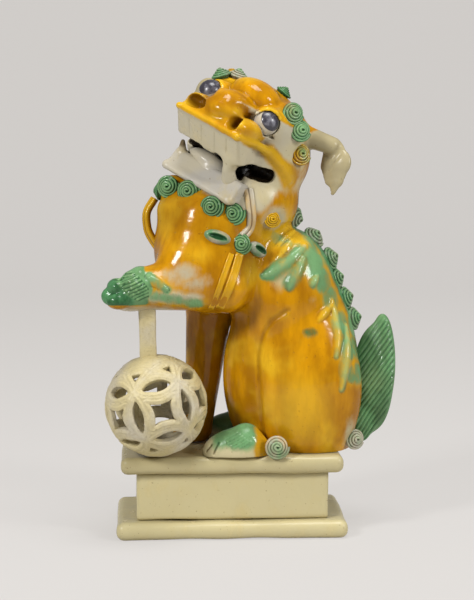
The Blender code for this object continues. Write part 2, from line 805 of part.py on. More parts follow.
def make_ribbon(name, aims, carriers, neighbours, material, snap=True):
    """A flat strip of clay laid along points on the carriers."""
    points = list(aims)
    if snap:
        lift = Vector((0, -RIBBON_LIFT * MM, 0))
        points = [ray_seat(carriers, aim, Vector((0, 1, 0))) + lift for aim in aims]
    curve = bpy.data.curves.new(name, "CURVE")
    curve.dimensions = "3D"
    curve.bevel_depth = RIBBON_WIDTH / 2 * MM
    curve.bevel_resolution = 1
    curve.use_fill_caps = True
    spline = curve.splines.new("POLY")
    spline.points.add(len(points) - 1)
    for knot, point in zip(spline.points, points):
        knot.co = (*point, 1)
    guide = add_object(name, curve, cutters)
    bpy.context.view_layer.update()
    graph = bpy.context.evaluated_depsgraph_get()
    mesh = bpy.data.meshes.new_from_object(guide.evaluated_get(graph))
    bpy.data.objects.remove(guide, do_unlink=True)
    shape = bmesh.new()
    shape.from_mesh(mesh)
    bmesh.ops.remove_doubles(shape, verts=shape.verts, dist=0.000001)
    strip = object_from(shape, name, cutters)
    cut_by(strip, [*carriers, *neighbours])
    keep_largest(strip)
    return finish(strip, material)


def make_leaf(name, point, way, carriers, neighbours, material):
    """A small pinched leaf of clay, its length along the way."""
    shape = bmesh.new()
    turn = way.to_track_quat("X", "Z").to_matrix().to_4x4()
    halves = mm((LEAF_LENGTH / 2, LEAF_HEIGHT / 2, LEAF_WIDTH / 2))
    add_ball(shape, Matrix.Translation(point) @ turn, halves, 12)
    leaf = object_from(shape, name, cutters)
    cut_by(leaf, [*carriers, *neighbours])
    keep_largest(leaf)
    return finish(leaf, material)


def make_ribbons(body, head, jaw, arm, knots, beard):
    left, right = knots
    chest = [body, arm]
    strap = [on_seat(point) for point in CHEEK_STRAP]
    make_ribbon("left_cheek_strap", strap, [head, body, arm], [left, jaw, *beard[-1:]], cream)
    for word, shift in (("front", 0.0), ("back", RIBBON_STEP)):
        aims = [on_seat((x + shift, ahead, height)) for x, ahead, height in RIBBON_FALL]
        make_ribbon(f"left_ribbon_{word}", aims, chest, [left], amber)
    for word, aim, slope in (("front", BOW_FRONT, -0.2), ("back", BOW_BACK, -0.3)):
        hit = ray_seat(chest, on_seat(aim), Vector((0, 1, 0)))
        make_leaf(f"left_bow_loop_{word}", hit, Vector((1, 0, slope)), chest, [left], green)
    aims = [on_seat(point) for point in RIGHT_RIBBON]
    make_ribbon("right_ribbon", aims, [body, arm, head], [right], amber, snap=False)


def make_post(ball, ball_centre, arm):
    """The square post between the ball's crown and the raised paw."""
    low = ball_centre + mm((-POST_FROM_CROWN, 0, BALL_RADIUS - 4))
    high = on_seat((RAISED_PAW[0][0] + POST_BEHIND_PAW, RAISED_PAW[0][1], RAISED_PAW[0][2]))
    along = high - low
    turn = along.to_track_quat("Z", "Y").to_matrix().to_4x4()
    shape = bmesh.new()
    place = Matrix.Translation((low + high) / 2) @ turn
    add_box(shape, place, (POST_WIDTH / 2 * MM, POST_DEPTH / 2 * MM, along.length / 2))
    post = object_from(shape, "paw_post", cutters)
    cut_by(post, [ball, arm])
    keep_largest(post)
    return finish(post, biscuit)


def make_tube(body):
    """The little cup-like tube that takes the foot of a joss stick."""
    bottom = SEAT + TUBE_HEIGHT
    point = ray_seat([body], mm((TUBE_X, 90, bottom + TUBE_LENGTH / 2)), Vector((0, -1, 0)))
    middle = Matrix.Translation((point.x, point.y + TUBE_OUT * MM, bottom * MM))
    wall = [(0, TUBE_LENGTH), (TUBE_RADIUS, TUBE_LENGTH), (TUBE_RADIUS, 0), (0, 0)]
    tube = turned("joss_stick_tube", wall, 20, middle)
    bore = [(0, TUBE_LENGTH + 5), (TUBE_BORE, TUBE_LENGTH + 5), (TUBE_BORE, TUBE_FLOOR), (0, TUBE_FLOOR)]
    cut_by(tube, [body])
    combine(tube, turned("tube_bore", bore, 20, middle), "DIFFERENCE")
    keep_largest(tube)
    return finish(tube, amber)


clear_scene()
wholes = {}
parts = collection_named("foo_dog_incense_holder")
cutters = collection_named("foo_dog_cutters")
amber = glaze("amber_glaze", AMBER, GLAZE_ROUGHNESS)
green = glaze("green_glaze", GREEN, GLAZE_ROUGHNESS)
cream = glaze("cream_glaze", CREAM, GLAZE_ROUGHNESS)
biscuit = glaze("biscuit_clay", BISCUIT, BISCUIT_ROUGHNESS)
aubergine = glaze("aubergine_glaze", AUBERGINE, GLAZE_ROUGHNESS)
HEAD = head_frame()

make_plinth()
ball_piece, ball_centre_point = make_ball()
body_form = make_body()
raised_leg, standing_leg = make_forelegs(body_form)
hind_feet = make_hind_feet(body_form, [standing_leg])
tail_piece = make_tail(body_form)
jaw_piece = make_jaw(body_form)
head_piece = make_head(jaw_piece)
make_tongue(jaw_piece)
make_eyes()
make_ears(head_piece)
bow_knots, beard_row = make_curls(body_form, head_piece, jaw_piece, raised_leg, hind_feet, tail_piece)
make_ribbons(body_form, head_piece, jaw_piece, raised_leg, bow_knots, beard_row)
make_post(ball_piece, ball_centre_point, raised_leg)
make_tube(body_form)
for helper in list(cutters.objects):
    bpy.data.objects.remove(helper, do_unlink=True)
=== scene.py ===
import json
import math

import bmesh
import bpy
import numpy as np
from mathutils import Matrix, Vector


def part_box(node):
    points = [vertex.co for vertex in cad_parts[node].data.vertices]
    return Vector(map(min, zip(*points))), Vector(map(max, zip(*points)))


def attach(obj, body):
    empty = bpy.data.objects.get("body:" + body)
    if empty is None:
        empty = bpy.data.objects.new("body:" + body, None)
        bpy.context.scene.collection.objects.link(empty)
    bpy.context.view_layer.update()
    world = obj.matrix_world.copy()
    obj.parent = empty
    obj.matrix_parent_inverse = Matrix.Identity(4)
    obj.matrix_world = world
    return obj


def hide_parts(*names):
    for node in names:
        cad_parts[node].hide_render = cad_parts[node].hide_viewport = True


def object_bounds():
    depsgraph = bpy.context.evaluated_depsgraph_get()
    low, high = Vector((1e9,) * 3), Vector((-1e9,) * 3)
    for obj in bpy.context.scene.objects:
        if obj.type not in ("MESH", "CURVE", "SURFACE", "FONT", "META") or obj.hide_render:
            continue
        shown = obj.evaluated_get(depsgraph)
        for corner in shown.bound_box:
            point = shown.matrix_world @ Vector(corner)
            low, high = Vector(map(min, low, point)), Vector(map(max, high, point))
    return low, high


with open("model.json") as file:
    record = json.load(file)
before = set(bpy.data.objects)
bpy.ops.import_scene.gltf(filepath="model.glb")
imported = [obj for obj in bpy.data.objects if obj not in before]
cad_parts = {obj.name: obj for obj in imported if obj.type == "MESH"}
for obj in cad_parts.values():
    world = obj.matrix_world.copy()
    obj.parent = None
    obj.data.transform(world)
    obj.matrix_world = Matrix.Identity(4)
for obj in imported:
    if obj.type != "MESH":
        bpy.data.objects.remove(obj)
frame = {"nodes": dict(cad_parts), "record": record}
cadLow, cadHigh = [corner.copy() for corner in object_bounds()]
scene = bpy.context.scene
scene.view_settings.view_transform = "Standard"
mm = 0.001  # the sculpting below is in millimetres, the scene in metres
print("frame loaded:", len(frame["nodes"]), "nodes")


def linked(name, data):
    obj = bpy.data.objects.new(name, data)
    scene.collection.objects.link(obj)
    return obj


class Sheet:  # a node tree being laid out, with short ways to add and join nodes
    def __init__(self, tree):
        self.tree = tree

    def add(self, kind, feeds=None, **settings):
        node = self.tree.nodes.new(kind)
        for key, value in settings.items():
            setattr(node, key, value)
        self.into(node, feeds or {})
        return node

    def into(self, node, feeds):
        for key, source in feeds.items():
            self.feed(node.inputs[key], source)

    def feed(self, target, source):
        if isinstance(source, bpy.types.NodeSocket):
            self.tree.links.new(source, target)
        else:
            target.default_value = source

    def math(self, kind, a, b):
        return self.add("ShaderNodeMath", {0: a, 1: b}, operation=kind).outputs[0]

    def times(self, a, b):
        return self.math("MULTIPLY", a, b)

    def plus(self, a, b):
        return self.math("ADD", a, b)

    def step(self, value, low, high):
        feeds = {0: value, 1: low, 2: high}
        return self.add("ShaderNodeMapRange", feeds, interpolation_type="SMOOTHSTEP").outputs[0]

    def mix(self, share, a, b):  # colours are sockets or names in the palette
        a, b = ((*palette[c], 1) if isinstance(c, str) else c for c in (a, b))
        return self.add("ShaderNodeMix", {"Factor": share, 6: a, 7: b}, data_type="RGBA").outputs[2]

    def lay(self, base, mask, strength, colour):  # a palette colour over the base, by a mask
        return self.mix(self.times(mask, strength), base, colour)

    def noise(self, where, scale, detail, rough=0.55):
        feeds = {"Vector": where, "Scale": scale, "Detail": detail, "Roughness": rough}
        return self.add("ShaderNodeTexNoise", feeds).outputs["Fac"]

    def upright(self, where, height):  # a pattern drawn out along Z
        return self.add("ShaderNodeMapping", {"Vector": where, "Scale": (1, 1, height)}).outputs[0]

    def mask(self, label):
        return self.add("ShaderNodeAttribute", attribute_name=label).outputs["Fac"]

    def objectPlace(self):
        return self.add("ShaderNodeTexCoord").outputs["Object"]

    def bump(self, height, strength, distance):
        feeds = {"Strength": strength, "Distance": distance, "Height": height}
        return self.add("ShaderNodeBump", feeds).outputs[0]


def newGroup(kind, name, inputs, outputs):
    tree = bpy.data.node_groups.new(name, kind)
    for way, sockets in (("INPUT", inputs), ("OUTPUT", outputs)):
        for label, socket in sockets.items():
            tree.interface.new_socket(label, in_out=way, socket_type="NodeSocket" + socket)
    sheet = Sheet(tree)
    return sheet, sheet.add("NodeGroupInput").outputs, sheet.add("NodeGroupOutput").inputs


def newMaterial(name):
    material = bpy.data.materials.new(name)
    material.use_nodes = True
    return material, Sheet(material.node_tree), material.node_tree.nodes["Principled BSDF"]


studio = {
    "cameraPlace": (-0.0399, -0.7943, 0.2047),
    "cameraTilt": (90 - 7.2185, 0.0, -3.104),
    "lens": 106.66,
    "sensorHeight": 36.0,
    "clip": (0.02, 20),
    "aim": (0, 0, 0.11),
    # place, width and height, power
    "lamps": {"windowLeft": ((-0.70, -0.62, 0.66), (0.18, 0.22), 8.6),
              "windowRight": ((0.75, -0.55, 0.52), (0.16, 0.32), 5.4),
              "ceiling": ((0.1, -0.15, 1.0), (0.4, 0.4), 6.4)},
    "worldLight": (0.9, 0.9, 0.92),
    "worldStrength": 0.22,
    "floorColour": (0.55, 0.535, 0.52),
    "floorRoughness": 0.9,
    "paperGlow": (0.745, 0.715, 0.685),
    "paperShare": 0.72,
    "floorReach": 2.2,
    "floorRise": 1.6,
    "floorBend": 0.5,
    "floorBack": 0.9,
    "bendSteps": 12,
}


def makeStudio():
    data = bpy.data.cameras.new("photoCamera")
    data.sensor_fit = "VERTICAL"
    data.sensor_height = studio["sensorHeight"]
    data.lens = studio["lens"]
    data.clip_start, data.clip_end = studio["clip"]
    scene.camera = linked("photoCamera", data)
    scene.camera.location = studio["cameraPlace"]
    scene.camera.rotation_euler = [math.radians(a) for a in studio["cameraTilt"]]

    for name, (place, size, power) in studio["lamps"].items():
        light = bpy.data.lights.new(name, "AREA")
        light.shape = "RECTANGLE"
        light.size, light.size_y = size
        light.energy = power
        lamp = linked(name, light)
        lamp.location = place
        lamp.rotation_euler = (Vector(studio["aim"]) - Vector(place)).to_track_quat("-Z", "Y").to_euler()

    scene.world = bpy.data.worlds.new("studioAir")
    scene.world.use_nodes = True
    air = scene.world.node_tree
    light = {"Color": (*studio["worldLight"], 1), "Strength": studio["worldStrength"]}
    Sheet(air).into(air.nodes["Background"], light)

    # floor and backdrop in one sweep
    reach, back, bend, rise = (studio[k] for k in ("floorReach", "floorBack", "floorBend", "floorRise"))
    profile = [(-reach, 0.0), (back, 0.0)]
    for i in range(1, studio["bendSteps"] + 1):
        angle = math.pi / 2 * i / studio["bendSteps"]
        profile.append((back + bend * math.sin(angle), bend * (1 - math.cos(angle))))
    profile.append((back + bend, bend + rise))
    points = [(x, y, z) for y, z in profile for x in (-reach, reach)]
    faces = [(2 * i, 2 * i + 1, 2 * i + 3, 2 * i + 2) for i in range(len(profile) - 1)]
    mesh = bpy.data.meshes.new("floor")
    mesh.from_pydata(points, [], faces)
    mesh.shade_smooth()
    paper, sheet, shader = newMaterial("palePaper")
    sheet.into(shader, {"Base Color": (*studio["floorColour"], 1), "Roughness": studio["floorRoughness"]})
    # the camera sees a paper that is lit evenly, and the object's shadow on it
    glow = sheet.add("ShaderNodeEmission", {"Color": (*studio["paperGlow"], 1)}).outputs[0]
    seen = sheet.add("ShaderNodeLightPath").outputs["Is Camera Ray"]
    share = sheet.times(seen, studio["paperShare"])
    blend = sheet.add("ShaderNodeMixShader", {0: share, 1: shader.outputs[0], 2: glow})
    sheet.into(paper.node_tree.nodes["Material Output"], {"Surface": blend.outputs[0]})
    mesh.materials.append(paper)
    linked("floor", mesh)


makeStudio()
print("studio ready")

# glazes: amber is the ground, cream and green lie over it by masks that the sculpted skins carry
palette = {
    "amberDeep": (0.33, 0.135, 0.001),
    "amber": (0.56, 0.255, 0.001),
    "amberPale": (0.68, 0.43, 0.02),
    "amberBurnt": (0.26, 0.085, 0.001),
    # darkest amber: glaze pooled in hollows, painted shade in the nostrils, under the beard and under the
    # arm, and the iron specks
    "amberPoolAndShade": (0.10, 0.032, 0.001),
    "green": (0.07, 0.215, 0.085),
    "greenDeep": (0.010, 0.055, 0.018),
    "greenPale": (0.25, 0.41, 0.18),
    "cream": (0.47, 0.42, 0.31),
    "creamGrey": (0.41, 0.385, 0.34),
    "creamWarm": (0.50, 0.38, 0.13),
    # darkest cream: glaze pooled in hollows, and painted shade inside the jaw
    "creamPoolAndShade": (0.10, 0.065, 0.02),
    "warmCream": (0.52, 0.45, 0.235),
    "biscuit": (0.50, 0.42, 0.215),
    "biscuitDeep": (0.20, 0.14, 0.055),
    # near black painted shade for the mouth, slots, hollow head and the inside of the jaw
    "inside": (0.012, 0.008, 0.004),
    "pupil": (0.035, 0.032, 0.042),
    # grey painted highlights on the pupil
    "pupilHighlight": (0.16, 0.155, 0.18),
}
# how far drawn out along Z, scale, detail and roughness of each pattern
glazeNoise = {"runs": (0.3, 95, 4, 0.55), "wash": (0.55, 130, 5, 0.6), "streaks": (0.22, 330, 4, 0.65)}


def makeGlazeGroup():
    sheet, given, put = newGroup(
        "ShaderNodeTree", "leadGlaze",
        {"Where": "Vector"} | {label: "Float" for label in ("Green", "Cream", "Pool", "Thin", "Warm")},
        {"Colour": "Color", "Gloss": "Float", "Height": "Float"})
    where, pool, thin = given["Where"], given["Pool"], given["Thin"]
    runs, wash, streaks = (sheet.noise(sheet.upright(where, tall), *rest)
                           for tall, *rest in glazeNoise.values())
    blotch = sheet.noise(where, 42, 3)

    # amber, darker where it ran thick and where shade is painted, and paler where it drew thin
    amber = sheet.mix(sheet.step(runs, 0.36, 0.68), "amberDeep", "amber")
    amber = sheet.lay(amber, sheet.step(blotch, 0.46, 0.72), 0.6, "amberPale")
    amber = sheet.lay(amber, sheet.step(streaks, 0.5, 0.72), 0.2, "amberBurnt")
    amber = sheet.lay(amber, thin, 0.7, "amberPale")
    amber = sheet.lay(amber, pool, 0.85, "amberPoolAndShade")

    cream = sheet.mix(sheet.step(blotch, 0.4, 0.68), "cream", "creamGrey")
    cream = sheet.lay(cream, sheet.step(runs, 0.55, 0.75), 0.5, "creamWarm")
    cream = sheet.mix(given["Warm"], cream, "warmCream")
    cream = sheet.lay(cream, sheet.step(wash, 0.5, 0.8), 0.35, "creamWarm")
    # darker where glaze pooled and where shade is painted
    cream = sheet.lay(cream, pool, 0.9, "creamPoolAndShade")

    green = sheet.mix(sheet.step(wash, 0.35, 0.68), "greenDeep", "green")
    green = sheet.lay(green, sheet.step(blotch, 0.5, 0.72), 0.5, "greenPale")
    green = sheet.lay(green, thin, 0.75, "greenPale")
    # darker where glaze pooled and where shade is painted
    green = sheet.lay(green, pool, 0.8, "greenDeep")

    # the colours bled into each other in the firing, so their edges wander
    drift = sheet.times(sheet.math("SUBTRACT", wash, 0.5), 0.9)
    creamShare = sheet.step(sheet.plus(given["Cream"], drift), 0.28, 0.72)
    greenShare = sheet.step(sheet.plus(given["Green"], drift), 0.3, 0.7)
    colour = sheet.mix(greenShare, sheet.mix(creamShare, amber, cream), green)
    # where the mask passes 1 the colour turns near black: painted shade in cut cavities
    colour = sheet.mix(sheet.step(pool, 1.0, 1.6), colour, "inside")

    specks = sheet.step(sheet.noise(where, 900, 1), 0.72, 0.78)  # iron and pinholes
    sheet.feed(put["Colour"], sheet.lay(colour, specks, 0.4, "amberPoolAndShade"))
    worn = sheet.times(sheet.step(wash, 0.55, 0.8), 0.12)
    sheet.feed(put["Gloss"], sheet.plus(sheet.plus(sheet.times(creamShare, 0.12), 0.13), worn))
    ripple = sheet.times(sheet.noise(where, 160, 2), 0.7)
    sheet.feed(put["Height"], sheet.plus(ripple, sheet.times(specks, -0.25)))
    return sheet.tree


glazeGroup = makeGlazeGroup()


def glazeMaterial(name, creamGround, greenGround):
    material, sheet, shader = newMaterial(name)
    feeds = {"Where": sheet.objectPlace()}
    grounds = {"Green": greenGround, "Cream": creamGround, "Pool": 0.0, "Thin": 0.0, "Warm": 0.0}
    for label, ground in grounds.items():
        feeds[label] = sheet.plus(sheet.mask(label.lower()), ground)
    glaze = sheet.add("ShaderNodeGroup", feeds, node_tree=glazeGroup).outputs
    sheet.into(shader, {"Base Color": glaze["Colour"], "Roughness": glaze["Gloss"],
                        "Specular IOR Level": 0.22, "Normal": sheet.bump(glaze["Height"], 0.5, 0.0006)})
    return material


def biscuitMaterial():
    material, sheet, shader = newMaterial("biscuitClay")
    where = sheet.objectPlace()
    blotch, grain = sheet.noise(where, 60, 4), sheet.noise(where, 700, 3)
    colour = sheet.mix(sheet.step(blotch, 0.35, 0.7), "biscuit", "cream")
    colour = sheet.lay(colour, sheet.step(grain, 0.5, 0.75), 0.25, "biscuitDeep")
    sheet.into(shader, {"Base Color": sheet.lay(colour, sheet.mask("pool"), 0.8, "biscuitDeep"),
                        "Roughness": sheet.plus(sheet.times(blotch, 0.3), 0.35),
                        "Normal": sheet.bump(grain, 0.6, 0.0005)})
    return material


def eyeMaterial():
    material, sheet, shader = newMaterial("eyeGlaze")
    blotch = sheet.noise(sheet.objectPlace(), 260, 4)
    white = sheet.mix(sheet.step(blotch, 0.4, 0.7), "cream", "creamGrey")
    # the grey patches in the pupil are painted highlights
    dark = sheet.mix(sheet.step(blotch, 0.5, 0.72), "pupil", "pupilHighlight")
    drift = sheet.times(sheet.math("SUBTRACT", blotch, 0.5), 0.5)
    share = sheet.step(sheet.plus(sheet.mask("pupil"), drift), 0.38, 0.62)
    sheet.into(shader, {"Base Color": sheet.mix(share, white, dark),
                        "Roughness": sheet.plus(sheet.times(blotch, 0.2), 0.15)})
    return material


amberGlaze = glazeMaterial("amberGlaze", 0.0, 0.0)
greenGlaze = glazeMaterial("greenGlaze", 0.0, 1.0)
creamGlaze = glazeMaterial("creamGlaze", 1.0, 0.0)
biscuitClay = biscuitMaterial()
eyeGlaze = eyeMaterial()
slotMaterials = {"amber_glaze": amberGlaze, "green_glaze": greenGlaze, "cream_glaze": creamGlaze,
                 "biscuit_clay": biscuitClay, "aubergine_glaze": eyeGlaze}
print("glazes mixed")


# sculpting: clay is held as signed distances on a grid and skinned at the end
most = np.maximum
cellCorners = [(a, b, c) for a in (0, 1) for b in (0, 1) for c in (0, 1)]


def softMin(a, b, k):
    share = np.clip(0.5 + 0.5 * (b - a) / k, 0, 1)
    return b + (a - b) * share - k * share * (1 - share)


def smooth(t):
    t = np.clip(t, 0, 1)
    return t * t * (3 - 2 * t)


def unit(way):
    return way / np.linalg.norm(way)


def units(ways):
    return ways / np.linalg.norm(ways, axis=1, keepdims=True)


def offsets(x, y, z, centre, axes=None):
    d = [x - centre[0], y - centre[1], z - centre[2]]
    if axes is not None:
        d = [axes[i][0] * d[0] + axes[i][1] * d[1] + axes[i][2] * d[2] for i in range(3)]
    return d


def lump(centre, radii, axes=None):
    centre, radii = np.array(centre, float), np.array(radii, float)
    reach = radii if axes is None else np.full(3, radii.max())

    def gap(x, y, z):
        d = offsets(x, y, z, centre, axes)
        near = np.sqrt(sum((d[i] / radii[i]) ** 2 for i in range(3)))
        slope = np.sqrt(sum((d[i] / radii[i] ** 2) ** 2 for i in range(3))) + 1e-5
        return near * (near - 1) / slope

    return gap, centre - reach, centre + reach


def chainGap(x, y, z, points, radii, ratio=False):  # to the nearest of a chain of tapering rods
    best = np.inf
    for a, b, ra, rb in zip(points, points[1:], radii, radii[1:]):
        ab = b - a
        d = offsets(x, y, z, a)
        h = np.clip((d[0] * ab[0] + d[1] * ab[1] + d[2] * ab[2]) / max(ab @ ab, 1e-6), 0, 1)
        far = np.sqrt(sum((d[i] - ab[i] * h) ** 2 for i in range(3)))
        width = ra + (rb - ra) * h
        best = np.minimum(best, far / width if ratio else far - width)
    return best


def rods(points, radii, ratio=False):
    points = [np.array(p, float) for p in points]
    if not hasattr(radii, "__len__"):
        radii = [radii] * len(points)

    def gap(x, y, z):
        return chainGap(x, y, z, points, radii, ratio)

    return gap, np.min(points, 0) - max(radii), np.max(points, 0) + max(radii)


def slabOf(centre, half, edge, axes=None, lean=0.0):
    centre, half = np.array(centre, float), np.array(half, float)
    reach = half if axes is None else np.full(3, np.linalg.norm(half) * (1 + abs(lean)))

    def gap(x, y, z):
        d = offsets(x, y, z, centre, axes)
        d[0] = d[0] - lean * d[2]
        q = [np.abs(d[i]) - half[i] + edge for i in range(3)]
        out = np.sqrt(sum(most(one, 0) ** 2 for one in q))
        return out + np.minimum(most(most(q[0], q[1]), q[2]), 0) - edge

    return gap, centre - reach, centre + reach


class Clay:
    outside = 30.0  # the distance held where nothing has been added

    def __init__(self, low, high, step):
        self.low = np.array(low, float)
        self.step = step
        self.count = np.ceil((np.array(high, float) - self.low) / step).astype(int) + 1
        self.field = np.full(self.count, self.outside, np.float32)

    def high(self):
        return self.low + (self.count - 1) * self.step

    def window(self, low, high):
        first = np.floor((np.array(low) - self.low) / self.step).astype(int)
        last = np.ceil((np.array(high) - self.low) / self.step).astype(int) + 1
        first, last = most(first, 0), np.minimum(last, self.count)
        if (last <= first).any():
            return None, None
        axes = [self.low[i] + self.step * np.arange(first[i], last[i]) for i in range(3)]
        where = np.meshgrid(*(axis.astype(np.float32) for axis in axes), indexing="ij", sparse=True)
        return tuple(slice(a, b) for a, b in zip(first, last)), where

    def add(self, shape, k):
        gap, low, high = shape
        cut, where = self.window(low - k - 3, high + k + 3)
        if cut:
            self.field[cut] = softMin(self.field[cut], gap(*where), k)

    def take(self, shape, k):
        gap, low, high = shape
        cut, where = self.window(low - k - 1, high + k + 1)
        if cut:
            self.field[cut] = -softMin(-self.field[cut], gap(*where), k)

    def mould(self, forms, steps):  # lumps and rods standing on the plinth, each with its softness
        for key, k in steps.items():
            if len(forms[key]) == 2:
                self.add(lump(up(forms[key][0]), forms[key][1]), k)
            else:
                a, ra, b, rb = forms[key]
                self.add(rods((up(a), up(b)), (ra, rb)), k)

    def relief(self, points, radii, height):  # raised along points, or sunk with a negative height
        gap, low, high = rods(points, radii, True)
        cut, where = self.window(low, high)
        if cut:
            self.field[cut] -= height * smooth(1 - gap(*where))

    def standOnPlinth(self):
        cut, where = self.window(self.low, self.high())
        self.field[cut] = most(self.field, seat + seatGap - where[2])

    def refine(self, low, high, step):  # a window of this clay on a finer grid
        fine = Clay(low, high, step)
        axes = [fine.low[i] + step * np.arange(fine.count[i]) for i in range(3)]
        spots = np.stack(np.meshgrid(*axes, indexing="ij"), -1)
        fine.field[:] = self.near(spots.reshape(-1, 3)).reshape(fine.count)
        return fine

    def near(self, points):
        spot = (np.asarray(points) - self.low) / self.step
        inside = ((spot >= 0) & (spot <= self.count - 1)).all(1)
        first = np.clip(np.floor(spot).astype(int), 0, self.count - 2)
        share = np.clip(spot - first, 0, 1)
        total = np.zeros(len(spot))
        for corner in cellCorners:
            weight = np.prod(np.where(corner, share, 1 - share), axis=1)
            total += weight * self.field[tuple((first + corner).T)]
        return np.where(inside, total, self.outside)

    def facing(self, points, reach):
        points = np.asarray(points, float)
        slope = np.stack([self.near(points + way) - self.near(points - way) for way in np.eye(3) * reach], 1)
        return slope / (np.linalg.norm(slope, axis=1, keepdims=True) + 1e-9)

    def hollows(self, points, reach):  # above 0 in hollows, below 0 on crests
        around = sum(self.near(points + np.eye(3)[i] * s * reach) for i in range(3) for s in (-1, 1)) / 6
        return (self.near(points) - around) / reach

    def seat(self, x, z, side):  # where a line along Y first meets the clay, from the near or the far side
        i, k = (int(round((v - self.low[a]) / self.step)) for v, a in ((x, 0), (z, 2)))
        inside = np.flatnonzero(self.field[i, :, k] < 0)
        if not len(inside):
            return None
        return self.low[1] + self.step * (inside[0] if side < 0 else inside[-1])

    def skin(self):
        field, inside = self.field, self.field < 0
        i, j, k = np.array(field.shape) - 1
        total = sum(inside[a:a + i, b:b + j, c:c + k].astype(np.int8) for a, b, c in cellCorners)
        mixed = (total > 0) & (total < 8)
        cells = np.argwhere(mixed)
        index = np.full(mixed.shape, -1, np.int64)
        index[mixed] = np.arange(len(cells))
        value = {corner: field[tuple((cells + corner).T)] for corner in cellCorners}
        place, hits = np.zeros((len(cells), 3)), np.zeros(len(cells))
        for one in cellCorners:
            for axis in range(3):
                if one[axis]:
                    continue
                two = tuple(1 if i == axis else one[i] for i in range(3))
                crossed = (value[one] < 0) != (value[two] < 0)
                share = np.where(crossed, value[one] / np.where(crossed, value[one] - value[two], 1), 0)
                point = np.array(one, float) + np.eye(3)[axis] * share[:, None]
                place += np.where(crossed[:, None], point, 0)
                hits += crossed
        points = self.low + (cells + place / hits[:, None]) * self.step
        quads = []
        rounds = (((0, -1, -1), (0, 0, -1), (0, 0, 0), (0, -1, 0)),
                  ((-1, 0, -1), (-1, 0, 0), (0, 0, 0), (0, 0, -1)),
                  ((-1, -1, 0), (0, -1, 0), (0, 0, 0), (-1, 0, 0)))
        for axis, ring in enumerate(rounds):
            head, tail = [slice(1, -1)] * 3, [slice(1, -1)] * 3
            head[axis], tail[axis] = slice(0, -1), slice(1, None)
            first, second = inside[tuple(head)], inside[tuple(tail)]
            edge = np.argwhere(first != second)
            outward = first[tuple(edge.T)]
            edge = edge + [0 if i == axis else 1 for i in range(3)]
            faces = np.stack([index[tuple((edge + offset).T)] for offset in ring], 1)
            faces[~outward] = faces[~outward][:, ::-1]
            quads.append(faces)
        return points, np.concatenate(quads)


def carry(mesh, masks):
    for label, values in masks.items():
        layer = mesh.attributes.new(label, "FLOAT", "POINT")
        layer.data.foreach_set("value", np.ascontiguousarray(values, np.float32))


def showPiece(name, mesh, material, nodes, body="lion"):
    mesh.shade_smooth()
    if material:
        mesh.materials.append(material)
    obj = linked(name, mesh)
    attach(obj, body)
    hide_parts(*nodes)
    print(name, len(mesh.polygons), "faces")


def makePiece(name, points, quads, material, nodes, masks, body="lion"):
    used = np.unique(quads)
    renumber = np.full(len(points), -1)
    renumber[used] = np.arange(len(used))
    mesh = bpy.data.meshes.new(name)
    mesh.from_pydata((points[used] * mm).tolist(), [], renumber[quads].tolist())
    carry(mesh, {label: np.broadcast_to(values, len(points))[used] for label, values in masks.items()})
    showPiece(name, mesh, material, nodes, body)


def nearPath(points, path, radius):  # 1 on the path, falling to 0 at the radius
    return smooth(1 - rods(path, radius, True)[0](*points.T))


def inLump(points, centre, radii, axes=None, edge=2.0):
    return smooth(0.5 - lump(centre, radii, axes)[0](*points.T) / (2 * edge))


def boxOf(node):
    return [np.array(corner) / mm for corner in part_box(node)]


seat = 37.0  # the top of the plinth
seatGap = 0.3  # the clay stops this far above it
grain = 0.55  # the sculpting grid


def up(point):
    return (point[0], point[1], point[2] + seat)


bodyForms = {
    "window": ((-36, -28, 36), (64, 30, 172)),
    "chest": ((-8, -2, 91), (26, 22, 30)),
    "throat": ((-6, -2, 108), (26, 19, 13)),
    "nape": ((8.5, 1, 112), (22, 21, 20)),
    "back": ((25, 0, 67), (23.5, 21, 33)),
    "trunk": ((24, 0, 33), (27, 20, 44)),
    "rump": ((40, 0, 28), (19, 20, 50)),
    "nearHaunch": ((35, -12, 28), (23.5, 13.5, 34)),
    "farHaunch": ((35, 12, 28), (23.5, 13.5, 34)),
    "beardRoll": ((-25, -0.5, 117.5), 6, (-3, -12, 109), 6.5),
    "soften": 5.0,
    "haunchLine": ((15.9, 0.5), (13.6, 15.7), (12.3, 31.5), (11.8, 42.7), (13.6, 52.5), (17.5, 59.6),
                   (24.6, 64.9)),
    "haunchDepth": 0.9,
    "haunchWidth": 1.7,
    # flame leaves on the flank and the rump: how strongly glazed, how wide, (x, height) from neck to tip
    "leaves": ((0.7, 2.2, ((27.0, 95.1), (24.0, 91.6), (20.5, 87.6))),
               (0.6, 1.8, ((28.5, 98.8), (24.5, 95.8), (20.5, 92.6))),
               (1.0, 3.7, ((32.7, 92.5), (24.8, 86.4), (18.6, 82.0), (14.3, 79.8))),
               (1.0, 3.5, ((31.8, 87.2), (28.8, 81.5), (26.1, 77.1), (25.0, 74.5))),
               (0.8, 2.4, ((38.2, 79.5), (36.7, 77.2), (35.4, 75.3))),
               (0.8, 3.0, ((44.9, 67.9), (46.8, 59.0), (47.3, 51.8), (46.0, 44.2))),
               (0.8, 3.2, ((51.2, 56.9), (51.6, 47.9), (50.4, 38.9), (48.2, 29.5))),
               (0.7, 2.4, ((44.5, 66.1), (41.0, 62.6), (38.3, 59.9)))),
    "leafHeight": 1.9,
    # the green that ran down from the spine, as a reach and (x, height)
    "wash": ((6, (22.5, 101.5)), (9, (23.5, 98.5)), (9, (34.0, 92.0)), (9, (35.5, 86.0)), (7, (41.0, 77.0)),
             (7, (44.5, 69.0)), (7.5, (49.0, 58.0)), (7, (51.5, 47.0)), (5, (53.0, 36.0)), (7, (54.5, 56.0)),
             (7, (55.5, 46.0)), (6, (56.0, 36.0))),
    "spot": (34.4, 55.2),
}
